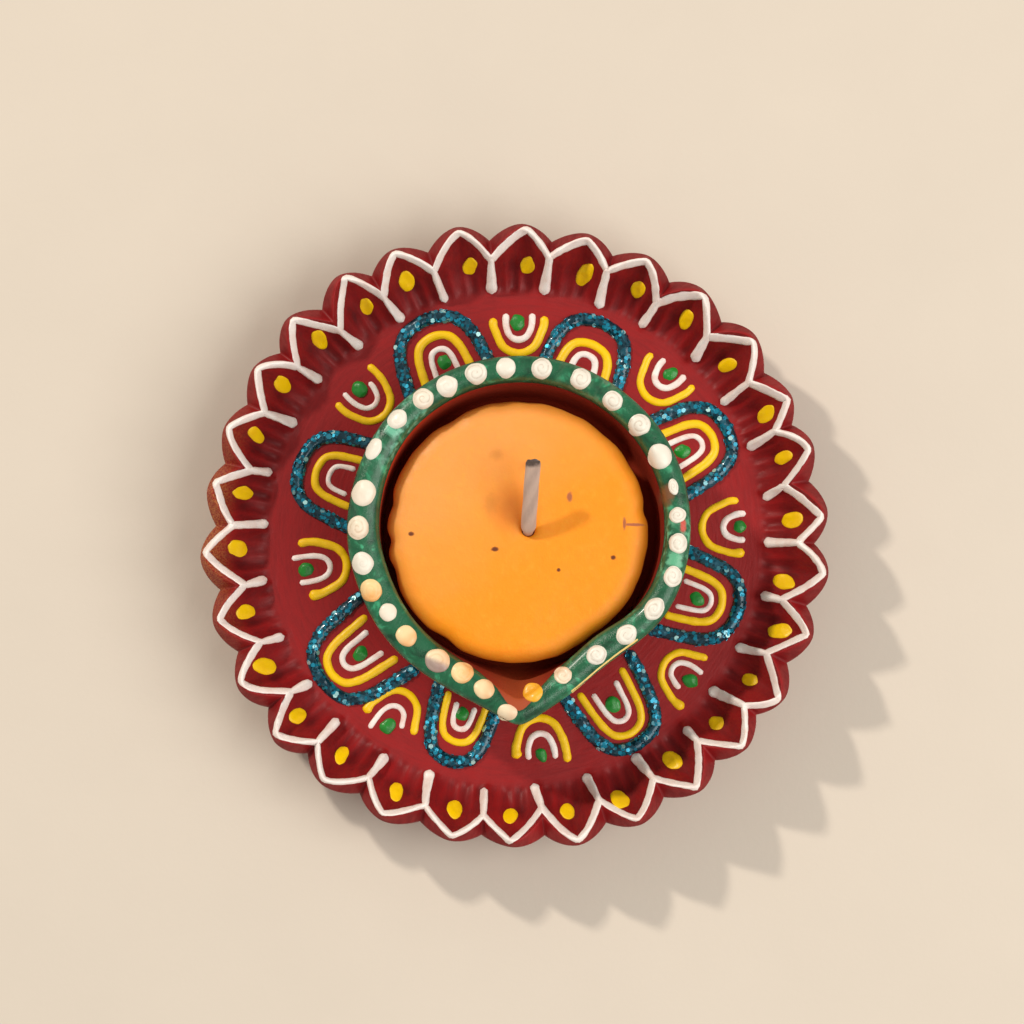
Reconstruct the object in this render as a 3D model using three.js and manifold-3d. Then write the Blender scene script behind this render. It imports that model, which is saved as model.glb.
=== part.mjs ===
// A clay diya for a tea-light: a saucer with a petal edge, a spouted cup luted into its seat, raised beads
// and arches of relief paint, and a loose wax candle that lifts out of the cup.
// Millimetres, +Z up. The origin is the middle of the flat base, and the spout points along -Y.
// Angles are in degrees, anticlockwise from +X seen from above.

import * as THREE from "three";
import { mergeVertices } from "three/addons/utils/BufferGeometryUtils.js";
import Module from "manifold-3d";

// ---------------------------------------------------------------- driving dimensions

const GAP = 0.3; // between touching pieces
const WELD = 1e-4; // points closer than this are one point

const SAUCER = {
  petals: 30,
  firstPetal: 3.6, // where one petal's middle points
  tipRadius: 45.8, // outline at a petal's tip
  notchRadius: 43.8, // outline between two petals
  floorRadius: 36.2, // where the flat floor ends and the petals rise
  ridgeTipRadius: 45.0, // the raised ridge that edges each petal, at its tip
  ridgeNotchRadius: 41.2, // and where two petals' ridges meet
  seatRadius: 19.3, // shallow seat for the cup
  footRadius: 29.0,
  seatHeight: 4.5,
  floorHeight: 6.0,
  ridgeTipHeight: 13.4,
  ridgeNotchHeight: 11.6,
  edgeTipHeight: 12.2,
  edgeNotchHeight: 10.4,
  lipThickness: 3.6,
  fluteDepth: 0.35,
};
const STEPS_PER_PETAL = 8; // catches the crest and the hollow of every flute

// The petals were spaced by eye. Each pair is an angle, and how far petals there run ahead of even spacing.
const PETAL_DRIFT = [
  [-180, 0.3],
  [-150, 1.2],
  [-130, 0.5],
  [-115, 1.9],
  [-45, 2.2],
  [-15, 1.1],
  [17, 1.2],
  [28, -0.5],
  [55, 1.2],
  [110, 1.4],
  [150, 0.0],
  [180, 0.3],
];

const CUP = {
  centre: [0.6, 0.7], // the spout makes the cup lopsided, so its round part sits behind the saucer's middle
  height: 22.5,
  floorHeight: 9.0, // inside
  beak: 3.8, // how far the spout runs past the round rim
  beakWidth: 13, // degrees
  pinch: 1.7, // how far a thumb drew the rim in, on the spout's +X side only
  pinchAt: 34, // degrees from the spout
  pinchWidth: 19,
  crestRadius: 22.8,
};
const SPOUT_ANGLE = 270;
const CUP_STEPS = 80;

const WAX = {
  radius: 19.05,
  bottomRadius: 18.3,
  height: 10.2,
  offset: [-0.3, -0.5], // where the loose candle lies in the cup
  shoulder: 3.2, // how far in from the edge the top starts to round off
  shoulderDrop: 1.9,
  shoulderTurns: [0, 30, 60, 90], // degrees round the shoulder, from the side up to the top
  footChamfer: 0.6,
};
const WAX_STEPS = 60;

const WICK = {
  offset: [1.6, 0.2], // from the wax's middle
  radius: 0.8,
  lean: [0.7, 9.4, 7.8], // from where it leaves the wax to its tip
  wallGap: 0.35,
  sides: 8,
  steps: 14, // along its length
};
const SUSTAINER = { radius: 6.3, thickness: 0.4, neckRadius: 1.55, neckHeight: 4.0, steps: 24 };
const BORE_STEPS = 16;

const LUTE = { width: 1.9, height: 2.0, waist: 0.4, rows: 5 };

// The pearls were set by hand. Each pair is one pearl's angle and its distance from the lamp's axis.
const BEADS = [
  [-92.5, 26.1],
  [-83.6, 23.3],
  [-71.6, 21.8],
  [-56.7, 21.3],
  [-42.9, 21.9],
  [-29.2, 22.9],
  [-16.1, 23.6],
  [-4.2, 23.5],
  [5.6, 23.5],
  [15.7, 23.7],
  [27.4, 23.5],
  [40.6, 23.6],
  [53.2, 23.5],
  [66.7, 24.0],
  [80.7, 23.9],
  [93.2, 23.7],
  [103.9, 23.5],
  [115.0, 23.2],
  [124.7, 23.3],
  [136.3, 23.5],
  [149.7, 23.6],
  [165.8, 22.5],
  [178.8, 22.6],
  [191.9, 22.4],
  [202.4, 22.4],
  [212.6, 21.7],
  [224.0, 21.7],
  [239.1, 21.7],
  [249.6, 21.7],
  [258.9, 23.1],
];
const BEAD = { radius: 1.55, height: 0.95, steps: 10 };

// Each glitter arch stands round the cup at an angle, reaches out to a radius, and has a width of its own.
const ARCHES = [
  { angle: 27.6, reach: 35.2, halfWidth: 5.6 },
  { angle: 68.3, reach: 34.4, halfWidth: 5.4 },
  { angle: 112.2, reach: 34.9, halfWidth: 5.9 },
  { angle: 161.0, reach: 33.5, halfWidth: 5.8 },
  { angle: 216.5, reach: 35.2, halfWidth: 6.0 },
  { angle: 253.6, reach: 34.1, halfWidth: 4.2 },
  { angle: 300.8, reach: 35.2, halfWidth: 5.2 },
  { angle: 341.7, reach: 34.5, halfWidth: 5.7 },
];
const ARCH = { footRadius: 23.3, width: 1.9, height: 0.85, steps: 16 };

const COLOURS = {
  maroon: 0x9a2a30,
  terracotta: 0xa2441f,
  slip: 0x8a3424,
  orangeWax: 0xf9a030,
  cotton: 0xb59a86,
  tin: 0xb9bcc0,
  pearl: 0xf6ecd8,
  glitter: 0x0a5f74,
};

// ---------------------------------------------------------------- helpers

const wasm = await Module();
wasm.setup();

const radians = THREE.MathUtils.degToRad;
const mix = THREE.MathUtils.lerp;

function material(colour, roughness, metalness = 0) {
  return new THREE.MeshStandardMaterial({ color: colour, roughness, metalness });
}

function named(name, geometry, paint) {
  const mesh = new THREE.Mesh(geometry, paint);
  mesh.name = name;
  return mesh;
}

// A profile of [radius, height] pairs spun round +Z.
function turned(profile, steps) {
  const points = profile.map(([r, z]) => new THREE.Vector2(r, z));
  return new THREE.LatheGeometry(points, steps).rotateX(Math.PI / 2);
}

// The same, but ring(row, angle) gives the radius and height of each row of the profile at each angle, and
// drift(angle) how far round that angle's points are moved.
function turnedByRule(rows, steps, ring, start = 0, drift = () => 0) {
  const geometry = turned(Array.from({ length: rows }, (_, row) => [row + 1, row]), steps);
  const position = geometry.getAttribute("position");
  for (let i = 0; i < position.count; i++) {
    const step = Math.floor(i / rows) % steps;
    const angle = start + (360 * step) / steps;
    const [r, z] = ring(i % rows, angle);
    const turn = radians(angle + drift(angle));
    position.setXYZ(i, r * Math.cos(turn), r * Math.sin(turn), z);
  }
  return geometry;
}

// An upright cylinder, to bore a hole with.
function peg(radius, bottom, top, [x, y], steps) {
  const cylinder = new THREE.CylinderGeometry(radius, radius, top - bottom, steps);
  return cylinder.rotateX(Math.PI / 2).translate(x, y, (bottom + top) / 2);
}

function toSolid(geometry) {
  const bare = geometry.clone().deleteAttribute("normal").deleteAttribute("uv");
  const merged = mergeVertices(bare, WELD);
  return new wasm.Manifold(
    new wasm.Mesh({
      numProp: 3,
      vertProperties: merged.getAttribute("position").array,
      triVerts: new Uint32Array(merged.index.array),
    }),
  );
}

function toGeometry(solid) {
  const mesh = solid.getMesh();
  const geometry = new THREE.BufferGeometry();
  geometry.setAttribute("position", new THREE.BufferAttribute(mesh.vertProperties, 3));
  geometry.setIndex(new THREE.BufferAttribute(mesh.triVerts, 1));
  return geometry;
}

// ---------------------------------------------------------------- saucer

// 0 in the middle of a petal, 1 on the rib between two petals.
function petalShare(angle) {
  const pitch = 360 / SAUCER.petals;
  const turn = (angle - SAUCER.firstPetal) / pitch;
  return 2 * Math.abs(turn - Math.round(turn));
}

function petalDrift(angle) {
  const bearing = THREE.MathUtils.euclideanModulo(angle + 180, 360) - 180;
  const next = PETAL_DRIFT.findIndex(([at]) => at > bearing);
  const [lowAngle, lowDrift] = PETAL_DRIFT[next - 1];
  const [highAngle, highDrift] = PETAL_DRIFT[next];
  return THREE.MathUtils.mapLinear(bearing, lowAngle, highAngle, lowDrift, highDrift);
}

function ridgeAt(share) {
  const arch = 1 - Math.pow(share, 1.4);
  return {
    r: mix(SAUCER.ridgeNotchRadius, SAUCER.ridgeTipRadius, arch),
    z: mix(SAUCER.ridgeTipHeight, SAUCER.ridgeNotchHeight, share * share),
  };
}

function edgeAt(share) {
  const lobe = 1 - Math.pow(share, 1.8);
  return {
    r: mix(SAUCER.notchRadius, SAUCER.tipRadius, lobe),
    z: mix(SAUCER.edgeNotchHeight, SAUCER.edgeTipHeight, lobe),
  };
}

// The scoop of a petal, from the floor's edge (rise 0) to its ridge (rise 1), with three ribs in its foot.
function scoopAt(share, rise) {
  const ridge = ridgeAt(share);
  const climb = Math.pow(rise, mix(1.8, 0.95, share * share));
  const flutes = SAUCER.fluteDepth * Math.cos(4 * Math.PI * share) * Math.sin(Math.PI * rise);
  return [mix(SAUCER.floorRadius, ridge.r, rise), mix(SAUCER.floorHeight, ridge.z, climb) + flutes];
}

const SAUCER_ROWS = 12;

function saucerRing(row, angle) {
  const share = petalShare(angle);
  const edge = edgeAt(share);
  const ridge = ridgeAt(share);
  const s = SAUCER;
  return [
    [0, 0],
    [s.footRadius, 0],
    [mix(s.footRadius, edge.r, 0.4), 1.6],
    [mix(s.footRadius, edge.r, 0.75), 4.6],
    [edge.r - 0.5, edge.z - s.lipThickness],
    [edge.r, edge.z - 0.7],
    [mix(edge.r, ridge.r, 0.25), edge.z],
    [ridge.r, ridge.z],
    scoopAt(share, 0.66),
    scoopAt(share, 0.33),
    [s.floorRadius, s.floorHeight],
    [0, s.floorHeight],
  ][row];
}

function petalSaucer() {
  const steps = SAUCER.petals * STEPS_PER_PETAL;
  const dish = turnedByRule(SAUCER_ROWS, steps, saucerRing, SAUCER.firstPetal, petalDrift);
  const seat = peg(SAUCER.seatRadius, SAUCER.seatHeight, SAUCER.floorHeight + 1, CUP.centre, CUP_STEPS);
  const seated = toSolid(dish).subtract(toSolid(seat));
  return named("petal_saucer", toGeometry(seated), material(COLOURS.maroon, 0.62));
}

// ---------------------------------------------------------------- cup

// How far the spout's beak and the pinch beside it move the wall out, at an angle.
function spoutReach(angle) {
  const off = THREE.MathUtils.euclideanModulo(angle - SPOUT_ANGLE + 180, 360) - 180;
  const beak = CUP.beak * Math.exp(-Math.abs(off) / CUP.beakWidth);
  const pinch = CUP.pinch * Math.exp(-Math.pow((off - CUP.pinchAt) / CUP.pinchWidth, 2));
  return beak - pinch;
}

// [radius, height, share of the spout]
const CUP_PROFILE = [
  [0, SAUCER.seatHeight + GAP, 0],
  [17.6, SAUCER.seatHeight + GAP, 0],
  [19.5, 6.6, 0],
  [22.4, 11.5, 0.2],
  [24.2, 17.5, 0.75],
  [24.8, 20.8, 1],
  [24.2, 22.1, 1],
  [CUP.crestRadius, CUP.height, 1],
  [21.7, 22.0, 1],
  [21.1, 20.6, 1],
  [20.7, 17.0, 0.6],
  [20.2, 12.5, 0.2],
  [19.8, 10.1, 0],
  [18.9, CUP.floorHeight, 0],
  [0, CUP.floorHeight, 0],
];

function diyaCup() {
  const geometry = turnedByRule(CUP_PROFILE.length, CUP_STEPS, (row, angle) => {
    const [r, z, share] = CUP_PROFILE[row];
    return [r === 0 ? 0 : r + share * spoutReach(angle), z];
  });
  const cup = named("diya_cup", geometry, material(COLOURS.terracotta, 0.55));
  cup.position.set(...CUP.centre, 0);
  return cup;
}

// The radius of the cup's outer wall at a height and an angle.
function wallAt(height, angle) {
  const above = CUP_PROFILE.findIndex(([, z]) => z > height);
  const [lowR, lowZ, lowShare] = CUP_PROFILE[above - 1];
  const [highR, highZ, highShare] = CUP_PROFILE[above];
  const t = (height - lowZ) / (highZ - lowZ);
  return mix(lowR, highR, t) + mix(lowShare, highShare, t) * spoutReach(angle);
}

// The coil of slip smoothed into the corner between the cup's wall and the saucer's floor.
function luteCoil() {
  const bottom = SAUCER.floorHeight + GAP;
  const top = bottom + LUTE.height;
  const geometry = turnedByRule(LUTE.rows, CUP_STEPS, (row, angle) => {
    const foot = wallAt(bottom, angle) + GAP;
    const tip = wallAt(top, angle) + GAP;
    return [
      [foot, bottom],
      [foot + LUTE.width, bottom],
      [mix(foot + LUTE.width, tip, LUTE.waist), mix(bottom, top, LUTE.waist)],
      [tip, top],
      [foot, bottom],
    ][row];
  });
  const coil = named("lute_coil", geometry, material(COLOURS.slip, 0.7));
  coil.position.set(...CUP.centre, 0);
  return coil;
}

// ---------------------------------------------------------------- relief paint

// Pearls of white paint along the cup's rim, level with its crest, the first on the tip of the spout.
function rimBeads() {
  return BEADS.map(([angle, distance], i) => {
    const geometry = turned(
      [
        [0, 0],
        [BEAD.radius, 0],
        [0.72 * BEAD.radius, 0.75 * BEAD.height],
        [0, BEAD.height],
      ],
      BEAD.steps,
    );
    const name = `rim_bead_${String(i + 1).padStart(2, "0")}`;
    const bead = named(name, geometry, material(COLOURS.pearl, 0.4));
    const turn = radians(angle);
    bead.position.set(distance * Math.cos(turn), distance * Math.sin(turn), CUP.height + GAP);
    return bead;
  });
}

// A line of glitter paint from the cup's foot out over the floor and back, in the shape of an arch.
function glitterArch({ angle, reach, halfWidth }, index) {
  const { footRadius, width, height } = ARCH;
  const leg = [
    new THREE.Vector3(footRadius, 1.12 * halfWidth, 0),
    new THREE.Vector3(reach - 7.0, 1.05 * halfWidth, 0),
    new THREE.Vector3(reach - 3.4, 0.94 * halfWidth, 0),
    new THREE.Vector3(reach - 1.0, 0.64 * halfWidth, 0),
  ];
  const otherLeg = leg.map((point) => point.clone().setY(-point.y)).reverse();
  const path = new THREE.CatmullRomCurve3([...leg, new THREE.Vector3(reach, 0, 0), ...otherLeg]);
  const section = new THREE.Shape([
    new THREE.Vector2(0, -width / 2),
    new THREE.Vector2(0, width / 2),
    new THREE.Vector2(-0.75 * height, 0.3 * width),
    new THREE.Vector2(-height, 0),
    new THREE.Vector2(-0.75 * height, -0.3 * width),
  ]);
  const geometry = new THREE.ExtrudeGeometry(section, { extrudePath: path, steps: ARCH.steps });
  const arch = named(`glitter_arch_${index + 1}`, geometry, material(COLOURS.glitter, 0.25, 0.4));
  arch.rotation.z = radians(angle);
  arch.position.z = SAUCER.floorHeight + GAP;
  return arch;
}

// ---------------------------------------------------------------- candle

const CANDLE_BASE = CUP.floorHeight + GAP;
const waxMiddle = [CUP.centre[0] + WAX.offset[0], CUP.centre[1] + WAX.offset[1]];
const wickFoot = [waxMiddle[0] + WICK.offset[0], waxMiddle[1] + WICK.offset[1]];

function waxDisc() {
  const { radius, bottomRadius, height, shoulder, shoulderDrop, footChamfer } = WAX;
  const rounded = WAX.shoulderTurns.map((turn) => [
    radius - shoulder + shoulder * Math.cos(radians(turn)),
    height - shoulderDrop + shoulderDrop * Math.sin(radians(turn)),
  ]);
  const disc = turned(
    [
      [0, 0],
      [bottomRadius - footChamfer, 0],
      [bottomRadius, footChamfer],
      ...rounded,
      [0, height],
    ],
    WAX_STEPS,
  );
  const hole = (r, top) => toSolid(peg(r, -1, top, WICK.offset, BORE_STEPS));
  const bored = toSolid(disc)
    .subtract(hole(WICK.radius + WICK.wallGap, height + 1))
    .subtract(hole(SUSTAINER.neckRadius + GAP, SUSTAINER.neckHeight + GAP))
    .subtract(hole(SUSTAINER.radius + GAP, SUSTAINER.thickness + GAP));
  const wax = named("wax_disc", toGeometry(bored), material(COLOURS.orangeWax, 0.45));
  wax.position.set(...waxMiddle, CANDLE_BASE);
  return wax;
}

// The tin tab that holds the wick upright under the wax, with its crimped neck.
function wickSustainer() {
  const { radius, thickness, neckRadius, neckHeight } = SUSTAINER;
  const boreRadius = WICK.radius + GAP;
  const geometry = turned(
    [
      [boreRadius, 0],
      [radius, 0],
      [radius, thickness],
      [neckRadius, thickness],
      [neckRadius, neckHeight],
      [boreRadius, neckHeight],
      [boreRadius, 0],
    ],
    SUSTAINER.steps,
  );
  const tab = named("wick_sustainer", geometry, material(COLOURS.tin, 0.35, 0.9));
  tab.position.set(...wickFoot, CANDLE_BASE);
  return tab;
}

function cottonWick() {
  const [leanX, leanY, rise] = WICK.lean;
  const onLean = (out, up) => new THREE.Vector3(out * leanX, out * leanY, WAX.height + up * rise);
  const route = new THREE.CatmullRomCurve3([
    new THREE.Vector3(0, 0, 0.05),
    new THREE.Vector3(0, 0, 0.4 * WAX.height),
    new THREE.Vector3(0, 0, 0.75 * WAX.height),
    new THREE.Vector3(0, 0, WAX.height + 0.1),
    onLean(0.12, 0.2),
    onLean(0.5, 0.58),
    onLean(1, 1),
  ]);
  const section = new THREE.Shape(
    Array.from({ length: WICK.sides }, (_, i) => {
      const turn = radians((360 * i) / WICK.sides);
      return new THREE.Vector2(WICK.radius * Math.cos(turn), WICK.radius * Math.sin(turn));
    }),
  );
  const geometry = new THREE.ExtrudeGeometry(section, { extrudePath: route, steps: WICK.steps });
  const wick = named("cotton_wick", geometry, material(COLOURS.cotton, 0.9));
  wick.position.set(...wickFoot, CANDLE_BASE);
  return wick;
}

// ---------------------------------------------------------------- assembly

const lamp = new THREE.Group();
lamp.add(petalSaucer(), diyaCup(), luteCoil(), ...rimBeads(), ...ARCHES.map(glitterArch));

const candle = new THREE.Group();
candle.add(waxDisc(), wickSustainer(), cottonWick());

const diya = new THREE.Group();
diya.add(lamp, candle);

export default diya;
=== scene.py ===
"""A hand painted clay diya: petal saucer, spouted cup, relief paint and a loose tea-light candle.

It is laid out as an add-on: sizes and colours are property groups, each piece has an operator, and one
panel in the 3D view's sidebar lists them. Run as a script, it makes every piece around the frame.
Lengths are metres and +Z is up. The spout points along -Y. Angles run anticlockwise from +X.
"""

import math
import random

import bmesh
import bpy
import numpy as np
from bpy.props import FloatProperty, FloatVectorProperty, IntProperty, PointerProperty
from bpy.types import Operator, Panel, PropertyGroup
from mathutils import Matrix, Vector, noise


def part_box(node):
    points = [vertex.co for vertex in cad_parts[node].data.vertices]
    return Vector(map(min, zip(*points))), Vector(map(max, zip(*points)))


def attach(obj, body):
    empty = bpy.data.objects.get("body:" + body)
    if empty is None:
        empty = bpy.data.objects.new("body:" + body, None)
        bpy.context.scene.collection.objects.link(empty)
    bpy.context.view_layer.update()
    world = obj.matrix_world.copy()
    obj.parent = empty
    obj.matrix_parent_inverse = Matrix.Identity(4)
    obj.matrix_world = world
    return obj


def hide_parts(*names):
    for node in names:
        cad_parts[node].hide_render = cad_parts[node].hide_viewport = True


bl_info = {
    "name": "Clay Diya",
    "version": (1, 0, 0),
    "blender": (4, 5, 0),
    "location": "3D View > Sidebar > Diya",
    "description": "Makes a hand painted clay diya with a tea-light candle, piece by piece",
    "category": "Add Mesh",
}

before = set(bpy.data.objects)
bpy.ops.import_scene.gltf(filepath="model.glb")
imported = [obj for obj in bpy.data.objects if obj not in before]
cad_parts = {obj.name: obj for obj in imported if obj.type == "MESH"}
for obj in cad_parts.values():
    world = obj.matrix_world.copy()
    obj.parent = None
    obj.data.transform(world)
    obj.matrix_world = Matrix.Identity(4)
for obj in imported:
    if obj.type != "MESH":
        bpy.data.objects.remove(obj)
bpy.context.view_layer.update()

MM = 0.001
TURN = 2 * math.pi
SPOUT = -math.pi / 2
BEADS = [f"rim_bead_{number:02d}" for number in range(1, 31)]
ARCHES = [f"glitter_arch_{number}" for number in range(1, 9)]
CURL = 13.0  # how far a pearl's swirl winds from its middle to its edge, in radians


# ---------------------------------------------------------------- places taken from the frame


def node_points(node):
    """The corner points of a CAD node, as rows of x, y, z."""
    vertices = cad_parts[node].data.vertices
    points = np.empty(len(vertices) * 3)
    vertices.foreach_get("co", points)
    return points.reshape(-1, 3)


def node_centre(node):
    low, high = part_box(node)
    return (Vector(low) + Vector(high)) / 2


def widest(node):
    """The largest distance of a node's points from the lamp's axis."""
    return float(np.hypot(*node_points(node)[:, :2].T).max())


SAUCER_HIGH = Vector(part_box("petal_saucer")[1])
CUP_HIGH = Vector(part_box("diya_cup")[1])
WAX_LOW, WAX_HIGH = (Vector(corner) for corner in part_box("wax_disc"))
TAB_LOW, TAB_HIGH = (Vector(corner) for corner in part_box("wick_sustainer"))
WICK_LOW, WICK_HIGH = (Vector(corner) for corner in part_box("cotton_wick"))
COIL_LOW, COIL_HIGH = (Vector(corner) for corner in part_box("lute_coil"))
CUP_AXIS = node_centre("lute_coil").to_2d()
WAX_AXIS = node_centre("wax_disc").to_2d()
WICK_AXIS = node_centre("wick_sustainer").to_2d()


# ---------------------------------------------------------------- sizes and colours a user would change


def length(name, description, default):
    return FloatProperty(
        name=name, description=description, default=default, min=0, unit="LENGTH", precision=5, step=0.01
    )


def bearing(name, description, degrees):
    return FloatProperty(
        name=name, description=description, default=math.radians(degrees), subtype="ANGLE"
    )


def linear(code):
    """A colour written as six hex digits, as linear red, green and blue."""
    parts = [int(code[place : place + 2], 16) / 255 for place in (0, 2, 4)]
    return tuple(c / 12.92 if c <= 0.04045 else ((c + 0.055) / 1.055) ** 2.4 for c in parts)


# Shades used once or twice, beside the main colours in the property group.
# Paler clay colour for the left petals' edges: partly paint worn through, partly a painted sheen where light
# falls on them.
SHEEN_AND_BARE_CLAY = linear("b06a3a")
# Painted shade: the darker red of the cup's inner wall away from its lit left side.
WALL_PAINTED_SHADE = linear("8a1410")
WELL_RED = linear("9c3016")
CHIP_BROWN = linear("7d5638")
SCRATCH_RED = linear("c8402a")
SWIRL_PAINTED_SHADE = linear("b3a08c")
TINT_ORANGE = linear("f6a623")
TINT_CREAM = linear("ffd587")
TINT_AMBER = linear("f9b52a")
SMUDGE_MAUVE = linear("86717a")
# Painted glint: the pale cyan of flakes that catch the light.
FLAKE_GLINT = linear("bff4f4")
WAX_BLOOM = linear("ffb63e")
# Painted shade for the rounded edge of the wax.
WAX_EDGE_SHADE = linear("c47a1e")
# Painted shadow of the wick on the wax.
WICK_SHADOW_ORANGE = linear("c4681a")
SPECK_BROWN = linear("6e3416")
STAIN_RED = linear("8c4a48")
WAX_SMUDGE = linear("c07a2c")
# Painted shade between the wick's strands.
COTTON_SHADE = linear("9a8276")
CHAR_BROWN = linear("4a3a32")
SOAKED_ORANGE = linear("b06a26")
TIN_GREY = linear("c3c6ca")
TIN_FILM = linear("d9b98c")
GOLD = linear("ffe08a")
GOLD_SHADE = linear("f2b25a")
OUTLINE_SHADE = linear("f0cfc4")
YELLOW_SHADE = linear("f8b400")
WHITE_SHADE = linear("e8a79c")
LEAF_SHADE = linear("1d5c2a")
WARM_LIGHT = linear("fff4e6")
SOFT_LIGHT = linear("fffaf4")
BACKDROP = linear("f8f2ea")
# Strokes on the rim that came out paler or greyer: a bearing in degrees and a colour.
RIM_STROKES = ((140, linear("7fd0b0")), (61, linear("5f7a5e")), (-8, linear("6fc59a")))


def colour(name, description, code):
    return FloatVectorProperty(
        name=name, description=description, default=linear(code), subtype="COLOR", size=3, min=0, max=1
    )


class DIYA_PG_saucer(PropertyGroup):
    """Sizes of the petal saucer."""

    petals: IntProperty(name="Petals", description="Petals round the rim", default=30, min=3)
    first_petal: bearing("First petal", "Where one petal's middle points", 3.6)
    tip_radius: length("Tip radius", "Outline at a petal's tip", widest("petal_saucer"))
    notch_radius: length("Notch radius", "Outline between two petals", 43.8 * MM)
    ridge_tip: length("Ridge tip", "Radius of a petal's raised edge, at its tip", 45.0 * MM)
    ridge_notch: length("Ridge notch", "Radius where two petals' raised edges meet", 41.2 * MM)
    floor_radius: length("Floor radius", "Where the flat floor ends and the petals rise", 36.2 * MM)
    floor_height: length("Floor height", "Height of the flat floor", 6.0 * MM)
    seat_radius: length("Seat radius", "Shallow seat for the cup", 19.3 * MM)
    seat_height: length("Seat height", "Height of the seat's floor", 4.5 * MM)
    foot_radius: length("Foot radius", "Flat underside", 29.0 * MM)
    tip_height: length("Tip height", "Height of the raised edge, at a tip", SAUCER_HIGH.z)
    ridge_drop: length("Ridge drop", "How much lower the raised edge is between petals", 1.8 * MM)
    edge_drop: length("Edge drop", "How far the outline lies below the raised edge", 1.2 * MM)
    lip: length("Lip thickness", "Clay thickness at the outline", 3.6 * MM)
    flute_depth: length("Flute depth", "Depth of the four thumb grooves in each petal", 0.45 * MM)
    unevenness: length("Unevenness", "How far a hand pressed petal strays from its neighbours", 0.45 * MM)


class DIYA_PG_cup(PropertyGroup):
    """Sizes of the spouted cup."""

    crest_radius: length("Crest radius", "The rim's highest line", 22.8 * MM)
    beak: length("Spout", "How far the spout runs past the round rim", 3.8 * MM)
    beak_width: bearing("Spout width", "How fast the spout falls away", 13)
    pinch: length("Pinch", "How far a thumb drew the rim in beside the spout", 1.7 * MM)
    pinch_at: bearing("Pinch place", "Bearing of the pinch from the spout", 34)
    pinch_width: bearing("Pinch width", "How wide the pinch is", 19)


class DIYA_PG_relief(PropertyGroup):
    """Sizes of the piped relief paint."""

    outline: length("Petal outline", "Half the width of the white line", 0.5 * MM)
    tail: length("Outline tail", "Half the width of the blob that ends it", 0.82 * MM)
    petal_dot: length("Petal dot", "Radius of the yellow dots", 1.25 * MM)
    glitter: length("Glitter line", "Half the width of the teal arches", 0.98 * MM)
    yellow: length("Yellow line", "Half the width of the yellow lines", 0.62 * MM)
    white: length("White line", "Half the width of the inner white lines", 0.47 * MM)
    leaf_dot: length("Leaf dot", "Radius of the green dots", 1.02 * MM)
    flakes: FloatProperty(name="Flakes", description="Glitter flakes per square mm", default=3.6, min=0)
    flake_size: length("Flake size", "Radius of a glitter flake", 0.29 * MM)


class DIYA_PG_colours(PropertyGroup):
    """Paints, clay, wax and floor."""

    maroon: colour("Maroon", "Saucer paint", "971719")
    # Deep maroon also serves as painted shade in the saucer's grooves, scoops and outer facets.
    maroon_deep: colour("Deep maroon", "Saucer paint where it pools", "5e080d")
    terracotta: colour("Terracotta", "Bare fired clay", "a84a24")
    # Lip red is painted light: the brighter red where light falls on the left of the cup's inner wall.
    lit_wall_red: colour("Lip red", "Orange-red wash inside the cup's lip", "e6420e")
    green: colour("Rim green", "Paint of the cup's rim", "1f6242")
    green_light: colour("Light green", "Thick strokes of the rim's paint", "3fa377")
    pearl: colour("Pearl white", "Pearls on the rim", "f1ebdd")
    relief_white: colour("Relief white", "White lines", "fdf3ee")
    relief_yellow: colour("Relief yellow", "Yellow lines and dots", "ffd000")
    leaf: colour("Leaf green", "Green dots", "1f8a2e")
    teal_deep: colour("Deep teal", "Glitter paint between its flakes", "043444")
    teal_light: colour("Light teal", "Glitter flakes that catch the light", "128cab")
    wax: colour("Wax", "The candle", "ff9a10")
    # Pale wax is painted light: the candle's top turns paler towards the upper left.
    wax_pale: colour("Pale wax", "Bloom on the candle's top", "f7a75a")
    cotton: colour("Cotton", "The wick", "b79f90")
    floor: colour("Floor", "What the lamp stands on", "dcd2c4")


class DIYA_PG_stage(PropertyGroup):
    """Camera, lights and floor."""

    lens: FloatProperty(name="Lens", description="Focal length in mm", default=180, min=10)
    view_width: length("View width", "How much the camera sees across the lamp's rim", 149.5 * MM)
    elevation: bearing("Elevation", "How high the camera stands", 86)
    key: FloatProperty(name="Key", description="Power of the light that casts the shadow", default=6.6)
    fill: FloatProperty(name="Fill", description="Power of the wide light on the right", default=6.0)
    sky: FloatProperty(name="Sky", description="Strength of the light from all round", default=0.4)


GROUPS = {
    "diya_saucer": DIYA_PG_saucer,
    "diya_cup": DIYA_PG_cup,
    "diya_relief": DIYA_PG_relief,
    "diya_colours": DIYA_PG_colours,
    "diya_stage": DIYA_PG_stage,
}


# ---------------------------------------------------------------- node trees


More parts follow.
